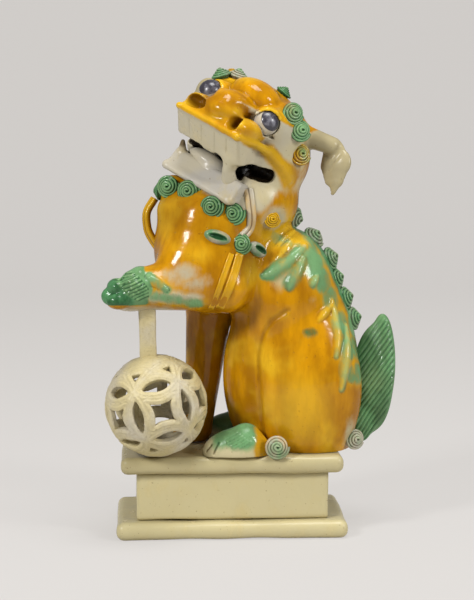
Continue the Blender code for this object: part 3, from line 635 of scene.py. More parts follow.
legForms = {
    "window": ((-62, -44, 90), (14, 0, 160)),
    "shoulder": ((-9, -15, 90), (17, 10, 24)),
    "upperArm": ((-2, -18, 75), 10.5, (-35, -21, 75.5), 9.8),
    "breast": ((-17, -17, 85), (15, 11, 13)),
    "elbow": ((-4, -20, 71), (7, 6, 6)),
    "paw": ((-44.5, -21.5, 72.0), (10.6, 10.2, 6.8)),
    "cuff": ((-43.0, -21.5, 76.4), (6.4, 10.4, 7.0)),
    "knob": ((-40.6, -22.5, 81.6), (3.8, 6.0, 3.4)),
    "toes": (((-49.6, -28.8, 70.4), (5.4, 3.6, 3.5)), ((-52.6, -24.4, 72.2), (4.7, 3.6, 4.2)),
             ((-50.4, -24.0, 76.4), (4.4, 6.0, 3.6)), ((-52.8, -18.4, 71.8), (4.4, 3.4, 4.0)),
             ((-51.8, -13.6, 71.2), (4.2, 3.0, 3.8))),
    "standingWindow": ((-40, -2, 36), (14, 34, 132)),
    "standingLeg": ((-9, 12, 60), 10.5, (-14, 13, 6), 6.2),
    "standingShoulder": ((-6, 11, 72), (13, 9, 16)),
    "standingPaw": ((-22, 13.5, 4), (12, 8.5, 6.5)),
}
headForms = {
    "window": ((-44, -54, 140), (58, 54, 216)),
    "place": (4.2, -14, 193),
    "forward": (-0.539, -0.818, 0.2),
    "left": (0.718, -0.571, -0.399),
    "top": (0.4398, -0.0718, 0.8952),
    "mane": ((14, 1, 133), (22, 20, 24)),
    "skull": ((-18, 0, -7), (20, 22, 18)),
    "forehead": ((-9, 0, 4.5), (10.5, 12.5, 7.5)),
    "bridge": ((3, 0, -2), (13, 8.6, 6.2)),
    "nose": ((11, 0.5, -6.0), (7.6, 9.6, 5.6)),
    "lipTop": ((4, 0, -10.2), (13.4, 17.0, 3.6), -0.45),
    "gullet": ((-22, 0, -36), (15, 20, 16)),
    "temple": ((-15, 16.5, -4), (12, 9, 12)),
    "brow": ((-4, 14.5, -2.6), (7.6, 7.2, 7.2)),
    "nostrilWing": ((6.8, 13.4, -8.4), (11.4, 5.8, 4.3)),
    "nostrils": {1: ((16.8, 11.4, -8.0), (8.0, 3.2, 3.3)), -1: ((16.8, 12.4, -7.8), (8.0, 6.6, 3.2))},
    "cheek": ((-17, 16.5, -21), (14, 8, 14)),
    "muzzle": ((-1, 0, -19.0), (14, 18, 6.6), 0.9),
    "lipRim": ((17.8, 16.8, -12.9), 0.95, (5, 18.6, -12.6), 1.5, (-5, 20.8, -13.6), 2.2,
               (-11, 24.8, -16.9), 2.2, (-15, 26.6, -18.6), 2.0, (-19, 27.6, -21.8), 1.8),
    "farRimIn": (0, 0.2, 1.6, 2.2, 3.0, 4.0),  # how much nearer the middle the far cheek lies
    "pillar": ((5.6, 12.4, -22.6), 4.4, (4.2, 12.0, -28.0), 2.7, (-0.6, 12.4, -33.4), 3.6),
    "slot": ((7.0, 17.5, -27.2), (-9.5, 23.0, -23.4)),
    "slotHalf": 3.3,
    "mouth": (-11, -32.4, -25.2),
    "mouthHalf": 15.5,
    "eyeSpread": 16.2,
    "eyeRadius": 5.5,
    "eyePlay": 0.35,
    "eyeDrop": 2.6,
    "hollow": ((-19, 1.5, -26), (11.5, 12.5, 18)),
    "nearLid": ((4.6, 12.6, -0.8), 1.0, (2.9, 15.2, 2.5), 1.35, (0.3, 18.4, 2.9), 1.35,
                (-1.4, 20.4, 1.4), 1.0),
    "lidCorners": (((5.4, 13.2, -4.2), (1.6, 1.4, 1.0)), ((-2.6, 19.6, -7.4), (2.2, 1.2, 0.8))),
    "noseFold": ((14.6, 3.0, -2.2), (9.5, 5.0, -0.2), (3.2, 9.5, -0.4)),
    "toothLines": (-10.6, -3.4, 4.2, 11.0),
    "sideToothLines": (5.0, -4.0),
    "toothLineSize": (0.85, -0.3),
    "earStalk": ((-21, 17, -2), 5.2, (-31, 33, 0), 4.0),
    "earFace": -32.5,
    "earFlat": 2.5,
    "earLeaf": ((35.5, -1.5), 4.4, (39.0, -5.5), 6.4, (42, -12.5), 3.8, (43.6, -18.4), 1.1),
    "earFlap": ((33.0, -4.5), 2.8, (34.8, -9.0), 3.2, (38.6, -14.6), 1.6),
    "earFold": ((39.5, 1.5), (38.6, -4.0), (37.8, -9.0), (35.6, -12.0)),
}
headAxes = np.array([headForms[k] for k in ("forward", "left", "top")])


def onHead(point, side=1):
    return np.array(headForms["place"]) + np.array((point[0], point[1] * side, point[2])) @ headAxes


def inHeadFrame(points):  # forward, left and up from the head's middle
    return ((points - np.array(headForms["place"])) @ headAxes.T).T


def headPath(points, side=1, drawn=0):  # drawn in towards the head's middle
    drawn = np.broadcast_to(drawn, len(points))
    return [onHead((f, l - d, u), side) for (f, l, u), d in zip(points, drawn)]


def headRods(form, side=1, drawn=0):
    return rods(headPath(form[0::2], side, drawn), form[1::2])


def headLump(form, side=1):
    return lump(onHead(form[0], side), form[1], headAxes)


def acrossHead(point):
    return [onHead(point, 1), onHead(point, -1)]


def rimPath(side):
    return headPath(headForms["lipRim"][0::2], side, 0 if side > 0 else headForms["farRimIn"])


def slotPaths(side):  # the slot between the jaws is cut inwards in steps
    return [headPath(headForms["slot"], side, 3 * inward) for inward in range(-1 if side < 0 else 0, 5)]


def eyePlace(side):
    return onHead((0, headForms["eyeSpread"], -headForms["eyeDrop"]), side)


def earLeaf(form, side):  # a chain of discs in the ear's own plane, flattened across it
    spots, radii = np.array([(0, *p) for p in form[0::2]], float), form[1::2]
    face, flat = headForms["earFace"], headForms["earFlat"]
    low, high = spots.min(0) - max(radii), spots.max(0) + max(radii)
    corners = np.array([onHead((face + f, l, u), side)
                        for f in (-4, 4) for l in (low[1], high[1]) for u in (low[2], high[2])])
    place = np.array(headForms["place"])

    def gap(x, y, z):
        f, l, u = offsets(x, y, z, place, headAxes)
        return chainGap((f - face) * flat, l * side, u, spots, radii) / flat

    return gap, corners.min(0), corners.max(0)


def onFlank(clay, path, side):  # (x, height) points brought onto the clay from the near or the far side
    line = []
    for x, height in path:
        for drop in (0, 0.8, 1.6, 2.4, 3.4, 4.6):
            y = clay.seat(x, height + seat - drop, side)
            if y is not None:
                line.append((x, y, height + seat - drop))
                break
    return line


def smoothPath(points, steps=4):
    points = np.array(points, float)
    ends = np.vstack([2 * points[0] - points[1], points, 2 * points[-1] - points[-2]])
    path = []
    for i in range(1, len(ends) - 2):
        a, b, c, d = ends[i - 1:i + 3]
        for t in np.arange(steps) / steps:
            bend = (2 * a - 5 * b + 4 * c - d) * t ** 2
            path.append(0.5 * (2 * b + (c - a) * t + bend + (3 * b - a - 3 * c + d) * t ** 3))
    return np.array(path + [points[-1]])


def tapered(path, width):  # fullest in the middle, narrowest at the end
    share = np.linspace(0, 1, len(path))
    swell = 0.55 * (1 - share) + 0.35 * share + 0.55 * np.sin(share * np.pi)
    return list(width * np.minimum(swell, 1))


def along(path, share):
    path = np.array(path, float)
    place = share * (len(path) - 1)
    i = min(int(place), len(path) - 2)
    return tuple(path[i] + (path[i + 1] - path[i]) * (place - i))


def shares(count):
    return np.arange(count) / (count - 1)


def between(lines, share, count):  # a line across from the first of two lines to the second
    ends = [along(line, share) for line in lines]
    return [along(ends, t) for t in np.linspace(0, 1, count)]


def sculptBody():
    clay = Clay(*bodyForms["window"], grain)
    rounds = ("chest", "throat", "nape", "back", "trunk", "rump", "nearHaunch", "farHaunch")
    clay.mould(bodyForms, {key: bodyForms["soften"] for key in rounds} | {"beardRoll": 3})
    for side in (-1, 1):
        line = onFlank(clay, smoothPath(bodyForms["haunchLine"]), side)
        clay.relief(line, bodyForms["haunchWidth"], -bodyForms["haunchDepth"])
        # every leaf is laid out on the plain flank before the first is raised
        lines = [onFlank(clay, smoothPath(leaf[2]), side) for leaf in bodyForms["leaves"]]
        for leaf, line in zip(bodyForms["leaves"], lines):
            clay.relief(line, tapered(line, leaf[1]), bodyForms["leafHeight"])
            clay.relief(line, tapered(line, 0.5 * leaf[1]), -0.35 * bodyForms["leafHeight"])
    return clay


def sculptRaisedLeg():
    clay = Clay(*legForms["window"], grain)
    clay.mould(legForms, {"breast": 4, "shoulder": 4, "upperArm": 6, "elbow": 4, "paw": 3, "cuff": 1.6,
                          "knob": 1.4})
    for centre, radii in legForms["toes"]:
        clay.add(lump(up(centre), radii), 0.8)
    return clay


def sculptStandingLeg():
    clay = Clay(*legForms["standingWindow"], grain)
    clay.mould(legForms, {"standingLeg": 3, "standingShoulder": 6, "standingPaw": 4})
    return clay


def sculptHead():
    def addLumps(steps, sides=(1,)):
        for side in sides:
            for key, k in steps.items():
                clay.add(headLump(headForms[key], side), k)

    clay = Clay(*headForms["window"], grain)
    clay.mould(bodyForms, {"throat": 4, "nape": 4})
    clay.mould(headForms, {"mane": 4})
    addLumps({"skull": 4, "gullet": 4})
    addLumps({"temple": 4, "cheek": 5, "brow": 2.5}, (1, -1))
    for key, edge in (("muzzle", 1.5), ("lipTop", 3.2)):
        centre, half, lean = headForms[key]
        clay.add(slabOf(onHead(centre), half, edge, headAxes, lean), 2)
    addLumps({"bridge": 2.2})
    rim = headForms["lipRim"]
    for side in (1, -1):
        addLumps({"nostrilWing": 2.0}, (side,))
        clay.add(rods(headPath(headForms["noseFold"], side), (1.6, 2.3, 1.4)), 1.2)
        clay.add(rods(rimPath(side), rim[1::2]), 1.6)
        clay.add(headRods(headForms["earStalk"], side), 3)
        for key in ("earLeaf", "earFlap"):
            clay.add(earLeaf(headForms[key], side), 1.2)
    clay.add(rods(acrossHead(rim[0]), rim[1]), 1.4)
    clay.add(headRods(headForms["nearLid"]), 1.0)
    addLumps({"nose": 1.6, "forehead": 0.9})
    return clay


def carveFace(clay):  # what is cut into the lion once its parts are joined
    back, low, high = headForms["mouth"]
    half = (40, headForms["mouthHalf"], (high - low) / 2)
    clay.take(slabOf(onHead((back + 40, 0, (low + high) / 2)), half, 2.4, headAxes), 1)
    clay.take(headLump(headForms["hollow"]), 1)
    for l in headForms["toothLines"]:
        line = [onHead((13.6 + 0.9 * (u + 18.2), l, u)) for u in (-16.2, -24.6)]
        clay.relief(line, *headForms["toothLineSize"])
    for side in (1, -1):
        for f in headForms["sideToothLines"]:
            line = headPath(((f, 18.6, -18.8), (f - 3.5, 18.6, -23.6)), side)
            clay.relief(line, *headForms["toothLineSize"])
        for path in slotPaths(side):
            clay.take(rods(path, headForms["slotHalf"]), 0.6)
        if side > 0:
            clay.add(headRods(headForms["pillar"]), 3.0)
        clay.take(headLump(headForms["nostrils"][side], side), 0.9)

        # open sockets round the loose eyes, slit at the corners of the near one
        clay.take(lump(eyePlace(side), (headForms["eyeRadius"] + headForms["eyePlay"],) * 3), 0.3)
        for corner in headForms["lidCorners"] if side > 0 else ():
            clay.take(headLump(corner), 0.4)
        fold = [onHead((headForms["earFace"] + 2.4, *p), side) for p in headForms["earFold"]]
        clay.relief(fold, 1.5, -0.9)


def joinClay(parts, soften):
    low = np.min([c.low for c in parts.values()], 0)
    high = np.max([c.high() for c in parts.values()], 0)
    whole = Clay(low - grain * 2, high + grain * 2, grain)
    for name, clay in parts.items():
        first = np.rint((clay.low - whole.low) / grain).astype(int)
        cut = tuple(slice(a, a + n) for a, n in zip(first, clay.count))
        clay.low = whole.low + first * grain
        whole.field[cut] = softMin(whole.field[cut], clay.field, soften[name])
    return whole


lionParts = {"body": sculptBody(), "raisedLeg": sculptRaisedLeg(), "standingLeg": sculptStandingLeg(),
             "head": sculptHead()}
lion = joinClay(lionParts, {"body": 2.0, "raisedLeg": 7.0, "standingLeg": 2.0, "head": 1.5})
carveFace(lion)
lion.standOnPlinth()
print("lion modelled:", lion.field.shape)

pawForm = {
    "window": ((-60, -42, 63), (-13, -9, 89)),
    "grain": 0.32,
    "frillLeft": ((-50.9, 81.3), (-47.5, 76.9), (-45.3, 73.9), (-41.6, 71.6)),
    "frillRight": ((-44.2, 83.4), (-41.0, 79.9), (-38.3, 76.6), (-36.2, 73.9)),
    "ribs": 9,
    "ribSize": (0.8, 1.1),
    "leaf": ((-36.7, 81.2), (-32.9, 78.5), (-28.9, 75.5)),
    "leafWidth": 3.0,
    "leafHeight": 1.3,
    "fringe": ((-36.2, 73.4), (-27.5, 71.4), (-15.1, 68.8)),
    "fringeRibs": 22,
    "fringeSize": (0.75, 0.6),
    "lift": 0.06,
}
glazeForm = {
    # where glaze ran along the spine, and where shade is painted under the beard: points above the plinth,
    # each with its reach
    "spine": (((18, 0, 116), 14), ((31, 0, 104), 17), ((42, 0, 88), 17), ((52, 0, 66), 16),
              ((58, 0, 40), 14), ((59, 0, 10), 9)),
    "beard": (((-30, -14, 108), 12), ((-16, -22, 103), 15), ((0, -24, 98), 12)),
    # painted shade under the raised arm
    "armpitShade": ((5, -26, 88), (9, 12, 9)),
    "paleHaunch": ((30, -24, 20), (12, 14, 15)),
    # cream where the amber missed: centre, radii and strength
    "patches": (((-24, -31, 82), (11, 9, 6), 0.6), ((-17, -31, 78), (8, 9, 5), 0.58),
                ((-26, -31, 72), (14, 9, 4), 0.7), ((-42, -26, 64.5), (20, 12, 3.4), 0.95),
                ((20, -20, 104), (9, 11, 8), 0.7), ((24, -22, 79), (8, 9, 6), 0.55),
                ((36, -23, 69), (6, 9, 4), 0.55), ((52, -14, 10), (5, 9, 9), 0.6)),
    "leafReach": 4.6,
    "fringeReach": 6.4,
    "rimAmber": (2.6, 5.0, 6.5, 7.0, 7.0, 6.0),
    "rimThin": (4, 6, 8, 8, 8, 7),
    "lionHollows": 1.6,
}


def glazeLion(points, hollow):
    def alongForm(form):
        return nearPath(points, [up(p) for p, reach in form], [reach for p, reach in form])

    def inHeadLump(form, side, grow, edge):
        return inLump(points, onHead(form[0], side), np.array(form[1]) + grow, headAxes, edge)

    gaps = np.stack([clay.near(points) for clay in lionParts.values()], 1)
    f, l, u = inHeadFrame(points)
    wide = np.abs(l)
    x, y, height = points[:, 0], points[:, 1], points[:, 2] - seat
    cream = np.zeros(len(points))
    pool = smooth((hollow - 0.03) / 0.3)
    thin = smooth((-hollow - 0.06) / 0.35)

    # body: green along the spine, in the leaves and on the paw, pale where the glaze missed
    green = 0.9 * alongForm(glazeForm["spine"])
    for side in (-1, 1):
        for reach, spot in bodyForms["wash"]:
            for place in onFlank(lion, [spot], side):
                ran = inLump(points, place, (reach * 0.8, reach, reach), edge=reach * 0.5)
                green = most(green, 0.66 * ran)
                thin = most(thin, 0.55 * ran)
        for strength, width, path in bodyForms["leaves"]:
            line = onFlank(lion, smoothPath(path), side)
            halo = nearPath(points, line, [2.0 * w + 1.5 for w in tapered(line, width)])
            core = nearPath(points, line, [1.3 * w for w in tapered(line, width)])
            green = most(green, 0.8 * strength * halo) - 0.15 * core
            cream = most(cream, 0.52 * strength ** 2 * core)
            thin = most(thin, 0.9 * core)
        edge = nearPath(points, onFlank(lion, smoothPath(bodyForms["haunchLine"]), side), 4)
        pool = pool * (1 - 0.7 * edge)
        for place in onFlank(lion, [bodyForms["spot"]], side):
            green = most(green, 0.62 * inLump(points, place, (4.4, 6, 3.2), edge=2.8))

    # the raised paw: dark toes, a ribbed cuff, a pale leaf and fringe
    cuffLeft, cuffRight = (np.array(pawForm[k])[::-1].T for k in ("frillLeft", "frillRight"))
    left, right = (np.interp(height, edge[1], edge[0]) for edge in (cuffLeft, cuffRight))
    onArm = (y < -8) * (x < -8) * smooth((height - 60) / 3) * (height < 92)
    reach = np.interp(height, (72, 76, 82), (1.5, 5, 7.5))
    onPaw = onArm * smooth((right + reach - x) / 4)
    isToe = onArm * smooth((left - 0.5 - x) / 2)
    green = most(green, onPaw * smooth((height - 67.6) / 2.4))
    thin = most(thin * (1 - 0.6 * isToe), onPaw * (0.5 - 0.45 * isToe))
    leaf, fringe = (nearPath(points, onFlank(lion, pawForm[k], -1), glazeForm[k + "Reach"])
                    for k in ("leaf", "fringe"))
    green = most(green, most(0.8 * leaf, 0.62 * fringe))
    thin = most(thin, 0.9 * most(leaf, fringe))
    # painted shade under the beard and under the raised arm
    pool = most(pool, 0.4 * alongForm(glazeForm["beard"]))
    centre, radii = glazeForm["armpitShade"]
    pool = most(pool, 0.5 * inLump(points, up(centre), radii, edge=6))
    centre, radii = glazeForm["paleHaunch"]
    thin = most(thin, 0.6 * inLump(points, up(centre), radii, edge=8))
    for centre, radii, share in glazeForm["patches"]:
        patch = inLump(points, up(centre), radii, edge=6)
        cream = most(cream, share * patch)
        pool = most(pool, 0.25 * patch)

    # head: a cream mask of a face with amber nose, lip roll, brow and forehead
    face = smooth((f + 40) / 14) * smooth((u + 46) / 9) * smooth((2.5 - u) / 4)
    face = face * smooth((f + 34 - 0.9 * (u + 12)) / 12) * smooth((34 - wide) / 9)
    isEar = most(smooth((wide - 31) / 2) * (u > -24), smooth((wide - 24) / 4) * smooth((u + 9) / 2))
    isEar = isEar * (np.abs(f + 29) < 9)
    face = most(face, 0.85 * isEar)
    for key, side in (("forehead", 1), ("bridge", 1), ("nose", 1), ("nostrilWing", 1), ("nostrilWing", -1)):
        face = face * (1 - inHeadLump(headForms[key], side, 0.6, 1.2))
    face = face * (1 - smooth((u + 14.2) / 1.6) * smooth((f - 4) / 6) * (u < 0))
    face = face * (1 - nearPath(points, acrossHead(headForms["lipRim"][0]), 2.4))
    for side in (1, -1):
        face = face * (1 - nearPath(points, rimPath(side), glazeForm["rimAmber"]))
        socket = inLump(points, eyePlace(side), (6.8,) * 3, edge=1.2)
        face = most(face, 0.75 * socket * smooth((0.5 - u) / 2))
    inFace = smooth((u + 50) / 7) * smooth((f + 47) / 9)
    cream = most(inFace * np.clip(face, 0, 1), cream)
    green = green * (1 - smooth((u + 46) / 4) * smooth((f + 34) / 6))

    # painted shade: the nostrils darkened, and the mouth, slots and hollow head near black, these only where
    # clay was cut away
    low = smooth((18.6 - wide) / 1.2) * (u < -26.5) * smooth((3 - f) / 2)
    mouth = smooth((9 - f) / 3) * smooth((16.6 - wide) / 2) * (u > -33.5) * (u < -22.5)
    inside = most(most(mouth, low * (u > -33.5)), inHeadLump(headForms["hollow"], 1, 1.0, 0.6))
    for side in (1, -1):
        deep = inHeadLump(headForms["nostrils"][side], side, 0.4, 0.6)
        pool = most(pool, deep * smooth((15.5 - f) / 4))
        thin = most(thin, 0.9 * nearPath(points, rimPath(side), glazeForm["rimThin"]))
        slot = np.zeros(len(points))
        for path in slotPaths(side):
            slot = most(slot, nearPath(points, path, 2 * headForms["slotHalf"]))
        slot = smooth((slot - 0.4) / 0.1) * smooth((18.4 + 0.333 * (7 - f) - l) / 1.2) * (f < 9)
        inside = most(inside, slot)
    pillar = headForms["pillar"]
    inside = inside * (1 - nearPath(points, headPath(pillar[0::2]), [2 * r for r in pillar[1::2]]) ** 0.5)
    inside = inside * smooth((-gaps.min(1) - 0.3) / 0.6)
    # the ears a little darker, and the cut cavities near black as painted shade
    pool = most(most(pool, 0.45 * isEar), 2 * inside)
    cream = most(cream, inside)
    warm = 0.3 + 0.4 * smooth((-4 - f) / 16)
    return {"green": green, "cream": cream, "pool": pool, "thin": thin, "warm": warm}, gaps.argmin(1)


def dressLion():
    points, quads = lion.skin()
    masks, owner = glazeLion(points, lion.hollows(points, glazeForm["lionHollows"]))
    owner = owner[quads[:, 0]]
    table = (("lionBody", "amber_glaze", ("body_left_half", "body_right_half")),
             ("raisedForeleg", "amber_glaze", ("raised_foreleg",)),
             ("standingForeleg", "amber_glaze", ("standing_foreleg",)),
             ("lionHead", "cream_glaze", ("head_shell", "left_ear", "right_ear")))
    for i, (name, slot, nodes) in enumerate(table):
        makePiece(name, points, quads[owner == i], amberGlaze, nodes, masks)


def makePaw():  # the paw's ribs need a finer grid than the lion's: a skin laid just over it
    low, high = (np.array(up(corner)) for corner in pawForm["window"])
    fine = lion.refine(low, high, pawForm["grain"])
    frills = (pawForm["frillLeft"], pawForm["frillRight"])
    for i in shares(pawForm["ribs"]):
        fine.relief(onFlank(fine, between(frills, i, 7), -1), *pawForm["ribSize"])
    for i in shares(pawForm["fringeRibs"]):
        x, height = along(pawForm["fringe"], i)
        rib = onFlank(fine, [(x + 0.3 * t, height + 2.8 - 5.6 * t) for t in np.linspace(0, 1, 7)], -1)
        fine.relief(rib, *pawForm["fringeSize"])
    leaf = onFlank(fine, smoothPath(pawForm["leaf"]), -1)
    fine.relief(leaf, tapered(leaf, pawForm["leafWidth"]), pawForm["leafHeight"])
    fine.field -= pawForm["lift"]
    points, quads = fine.skin()
    inside = ((points > low + 1.2) & (points < high - 1.2)).all(1)
    hollow = lion.hollows(points, glazeForm["lionHollows"])
    masks = glazeLion(points, np.where(inside, 1.8 * fine.hollows(points, 0.7), hollow))[0]
    makePiece("pawRelief", points, quads, amberGlaze, ("raised_foreleg",), masks)


dressLion()
makePaw()


def handMade(points, size, reach):  # the slow waviness of hand-built clay
    x, y, z = points.T / reach
    wave = np.sin(1.7 * x + 0.6 * z + 0.4) * np.cos(1.3 * y - 0.8 * x)
    wave = wave + np.sin(2.3 * z - 1.1 * y + 1.9) * 0.6
    wave += 0.5 * np.sin(3.9 * x + 2.7 * y + 0.3) * np.sin(3.1 * z + 0.8)
    return size * wave


def dressClay(clay, name, material, nodes, paint=None, waviness=0.0, waveReach=9.0, hollowReach=1.4):
    points, quads = clay.skin()
    hollow = clay.hollows(points, hollowReach)
    masks = {"pool": smooth((hollow - 0.02) / 0.35), "thin": smooth((-hollow - 0.08) / 0.4)}
    if paint:
        masks.update(paint(points, **masks))
    if waviness:
        points = points + clay.facing(points, clay.step * 2) * handMade(points, waviness, waveReach)[:, None]
    makePiece(name, points, quads, material, nodes, masks)


plinthForm = {
    "grain": 0.9,
    "margin": 3,
    # nodes, edge radius, how much taller than its nodes, waviness and its reach
    "pieces": {"plinthFoot": (("plinth_foot_slab",), 3.4, 0, 0.28, 16),
               "plinthTop": (("plinth_top_slab",), 3.0, 0, 0.28, 16),
               "plinthBox": (("plinth_front_wall", "plinth_back_wall", "plinth_left_wall",
                              "plinth_right_wall"), 1.2, 0.3, 0.2, 20)},
}


def makePlinth():
    def paint(points, pool, thin):
        return {"warm": 0.9, "pool": 0}

    def paintTop(points, pool, thin):
        # the top slab darker, more so towards its left end
        return {"warm": 0.9, "pool": 0.18 + 0.14 * smooth((-10 - points[:, 0]) / 40)}

    margin = plinthForm["margin"]
    for name, (nodes, edge, taller, waviness, reach) in plinthForm["pieces"].items():
        boxes = [boxOf(node) for node in nodes]
        low, high = np.min([b[0] for b in boxes], 0), np.max([b[1] for b in boxes], 0)
        clay = Clay(low - margin, high + margin, plinthForm["grain"])
        clay.add(slabOf((low + high) / 2, (high - low) / 2 + (0, 0, taller), edge), 0.1)
        dressClay(clay, name, creamGlaze, nodes, paintTop if name == "plinthTop" else paint,
                  waviness, reach)


ballForm = {
    "centre": (-33.65, -20.8, 60.0),
    "radius": 22.7,
    "wall": 3.2,
    "roll": -13.0,
    "turn": 8.0,
    "windows": 6,
    "windowHalf": 5.3,
    "bow": 0.24,
    "lens": (7.8, 2.5),
    "capLatitude": 32.0,
    "capLens": (6.8, 2.7),
    "cornerLatitude": 47.0,
    "cornerHalf": 2.3,
    "soften": 0.9,
    "grain": 0.42,
    "grooveStep": 1.55,
    "grooveReach": 4.6,
    "grooveDepth": 0.3,
}


def makeBrocadeBall():
    def turned(degrees, axis):
        return Matrix.Rotation(math.radians(degrees), 3, axis)

    radius, wall, centre = ballForm["radius"], ballForm["wall"], np.array(ballForm["centre"])
    turn = turned(ballForm["roll"], "Y") @ turned(ballForm["turn"], "Z")
    clay = Clay(centre - radius - 2, centre + radius + 2, ballForm["grain"])
    cut, where = clay.window(centre - radius - 2, centre + radius + 2)
    d = offsets(*where, centre)
    out = np.sqrt(d[0] ** 2 + d[1] ** 2 + d[2] ** 2)
    field = np.abs(out - radius + wall / 2) - wall / 2

    def window(a, b):
        half, bow = ballForm["windowHalf"], ballForm["bow"]

        def side(run):
            return half * (1 - bow + bow * np.minimum((run / half) ** 2, 1.3))

        return most(np.abs(a) - side(b), np.abs(b) - side(a))

    def lens(length, width):
        arc = (length ** 2 + width ** 2) / (2 * width)
        return lambda a, b: np.sqrt(a ** 2 + (np.abs(b) + arc - width) ** 2) - arc

    def upright(a, b):
        return lens(*ballForm["lens"])(b, a)

    def corner(sign):
        half = ballForm["cornerHalf"]
        return lambda a, b: most(sign * b - half * 0.8, np.abs(a) * 0.87 - 0.5 * sign * b - half * 0.45)

    step = 360 / ballForm["windows"]
    cap = lens(*ballForm["capLens"])
    high, higher = ballForm["capLatitude"], ballForm["cornerLatitude"]
    holes = ((window, 0, 0), (upright, 0.5, 0), (cap, 0, high), (cap, 0, -high),
             (corner(1), 0.5, higher), (corner(-1), 0.5, -higher))
    edge = np.full_like(field, 20)
    for shape, share, latitude in holes:
        for i in range(ballForm["windows"]):
            axes = turn @ turned(step * (i + share), "Z") @ turned(90 - latitude, "X")
            east, north, ahead = (sum(axes[r][c] * d[r] for r in range(3)) for c in range(3))
            gap = shape(radius * np.arctan2(east, ahead), radius * np.arctan2(north, ahead))
            gap = np.where(ahead > radius * 0.35, gap, 20)
            edge = np.minimum(edge, gap)
            field = -softMin(-field, gap, ballForm["soften"])
    # the bands keep the lines of the tool that drew them
    lines = 0.5 - 0.5 * np.cos(edge * 2 * np.pi / ballForm["grooveStep"])
    field += ballForm["grooveDepth"] * lines * (edge < ballForm["grooveReach"])
    clay.field[cut] = field
    clay.standOnPlinth()
    dressClay(clay, "brocadeBall", biscuitClay, ("brocade_ball",), None, 0.16, 3.5)


postForm = {"half": (3.7, 3.1), "longer": 1, "edge": 0.8, "grain": 0.5, "endDepth": 6}


def makePost():
    low, high = boxOf("paw_post")
    points = np.array([v.co for v in frame["nodes"]["paw_post"].data.vertices]) / mm
    foot = points[points[:, 2] < low[2] + postForm["endDepth"]].mean(0)
    head = points[points[:, 2] > high[2] - postForm["endDepth"]].mean(0)
    axis = unit(head - foot)
    side = unit(np.cross((0, 1, 0), axis))
    axes = np.array([side, np.cross(axis, side), axis])
    clay = Clay(low - 4, high + 4, postForm["grain"])
    half = (*postForm["half"], (high[2] - low[2]) / 2 + postForm["longer"])
    clay.add(slabOf((low + high) / 2, half, postForm["edge"], axes), 0.1)
    dressClay(clay, "pawPost", biscuitClay, ("paw_post",), None, 0.12, 5)


tailForm = {
    "leaf": ((65.5, 2, 30), (9.3, 5.2, 24)),
    "blade": ((69.5, 2, 42), (5.6, 4.4, 18)),
    "root": ((59.5, 1, 9), (5.5, 5, 8)),
    "grooveStep": 1.95,
    "grooveDepth": 0.6,
    "grooveWay": (0.79, -0.61),
    "grooveFrom": 58,
    "window": ((50, -8, 36), (80, 12, 104)),
    "grain": 0.36,
}


def makeTail():
    clay = Clay(*tailForm["window"], tailForm["grain"])
    clay.mould(tailForm, {"leaf": 4, "blade": 4, "root": 4})
    clay.standOnPlinth()
    cut, (x, y, z) = clay.window(clay.low, clay.high())
    x = x - tailForm["grooveFrom"]
    way = tailForm["grooveWay"]
    flow = way[0] * x + way[1] * (z - seat) + 0.8 * np.sin(x / 7)
    wave = np.sin(flow * 2 * np.pi / tailForm["grooveStep"])
    onFace = smooth((np.abs(y - tailForm["leaf"][0][1]) - 0.8) / 2)  # the rim stays smooth
    clay.field[cut] += tailForm["grooveDepth"] * (0.5 - 0.5 * wave) * onFace

    def paint(points, pool, thin):
        return {"thin": most(thin, 0.4)}

    dressClay(clay, "tailLeaf", greenGlaze, ("tail",), paint, hollowReach=0.9)


footForm = {
    "lumps": (((2.5, 19.5, 2.5), (14.5, 8.2, 9.4)), ((6.0, 19.0, 6.0), (7.6, 7.4, 8.2)),
              ((-7.5, 19.5, 1.5), (5.6, 6.8, 5.0))),
    "strokesLeft": ((-3.4, 8.2), (1.2, 3.8)),
    "strokesRight": ((1.6, 10.8), (7.2, 7.2)),
    "strokes": 6,
    "strokeSize": (0.85, 0.7),
    "toeLineSize": (0.9, -0.7),
    "grain": 0.34,
    "toeLines": (((-9.4, 5.4), (-11.6, 2.6)), ((-6.4, 6.6), (-8.6, 2.0))),
}


def makeHindFeet():
    def paint(points, pool, thin):
        x, height = points[:, 0], points[:, 2] - seat
        green = 0.7 * smooth((height - 1) / 9) * smooth((x + 13) / 9) * smooth((13 - x) / 7) + 0.26
        return {"cream": smooth((13 - x - 0.2 * height) / 7), "green": green, "thin": most(thin, 0.45),
                "warm": 0.8}

    strokes = (footForm["strokesLeft"], footForm["strokesRight"])
    for side, name, node in ((-1, "nearHindFoot", "left_hind_foot"), (1, "farHindFoot", "right_hind_foot")):
        clay = Clay((-18, 8 if side > 0 else -30, 36), (22, 30 if side > 0 else -8, 56), footForm["grain"])
        for (x, y, z), radii in footForm["lumps"]:
            clay.add(lump((x, y * side, z + seat), radii), 2.2)
        clay.standOnPlinth()
        for i in shares(footForm["strokes"]):
            clay.relief(onFlank(clay, between(strokes, i, 7), side), *footForm["strokeSize"])
        for line in footForm["toeLines"]:
            line = onFlank(clay, [along(line, t) for t in np.linspace(0, 1, 5)], side)
            clay.relief(line, *footForm["toeLineSize"])
        dressClay(clay, name, amberGlaze, (node,), paint, hollowReach=0.8)


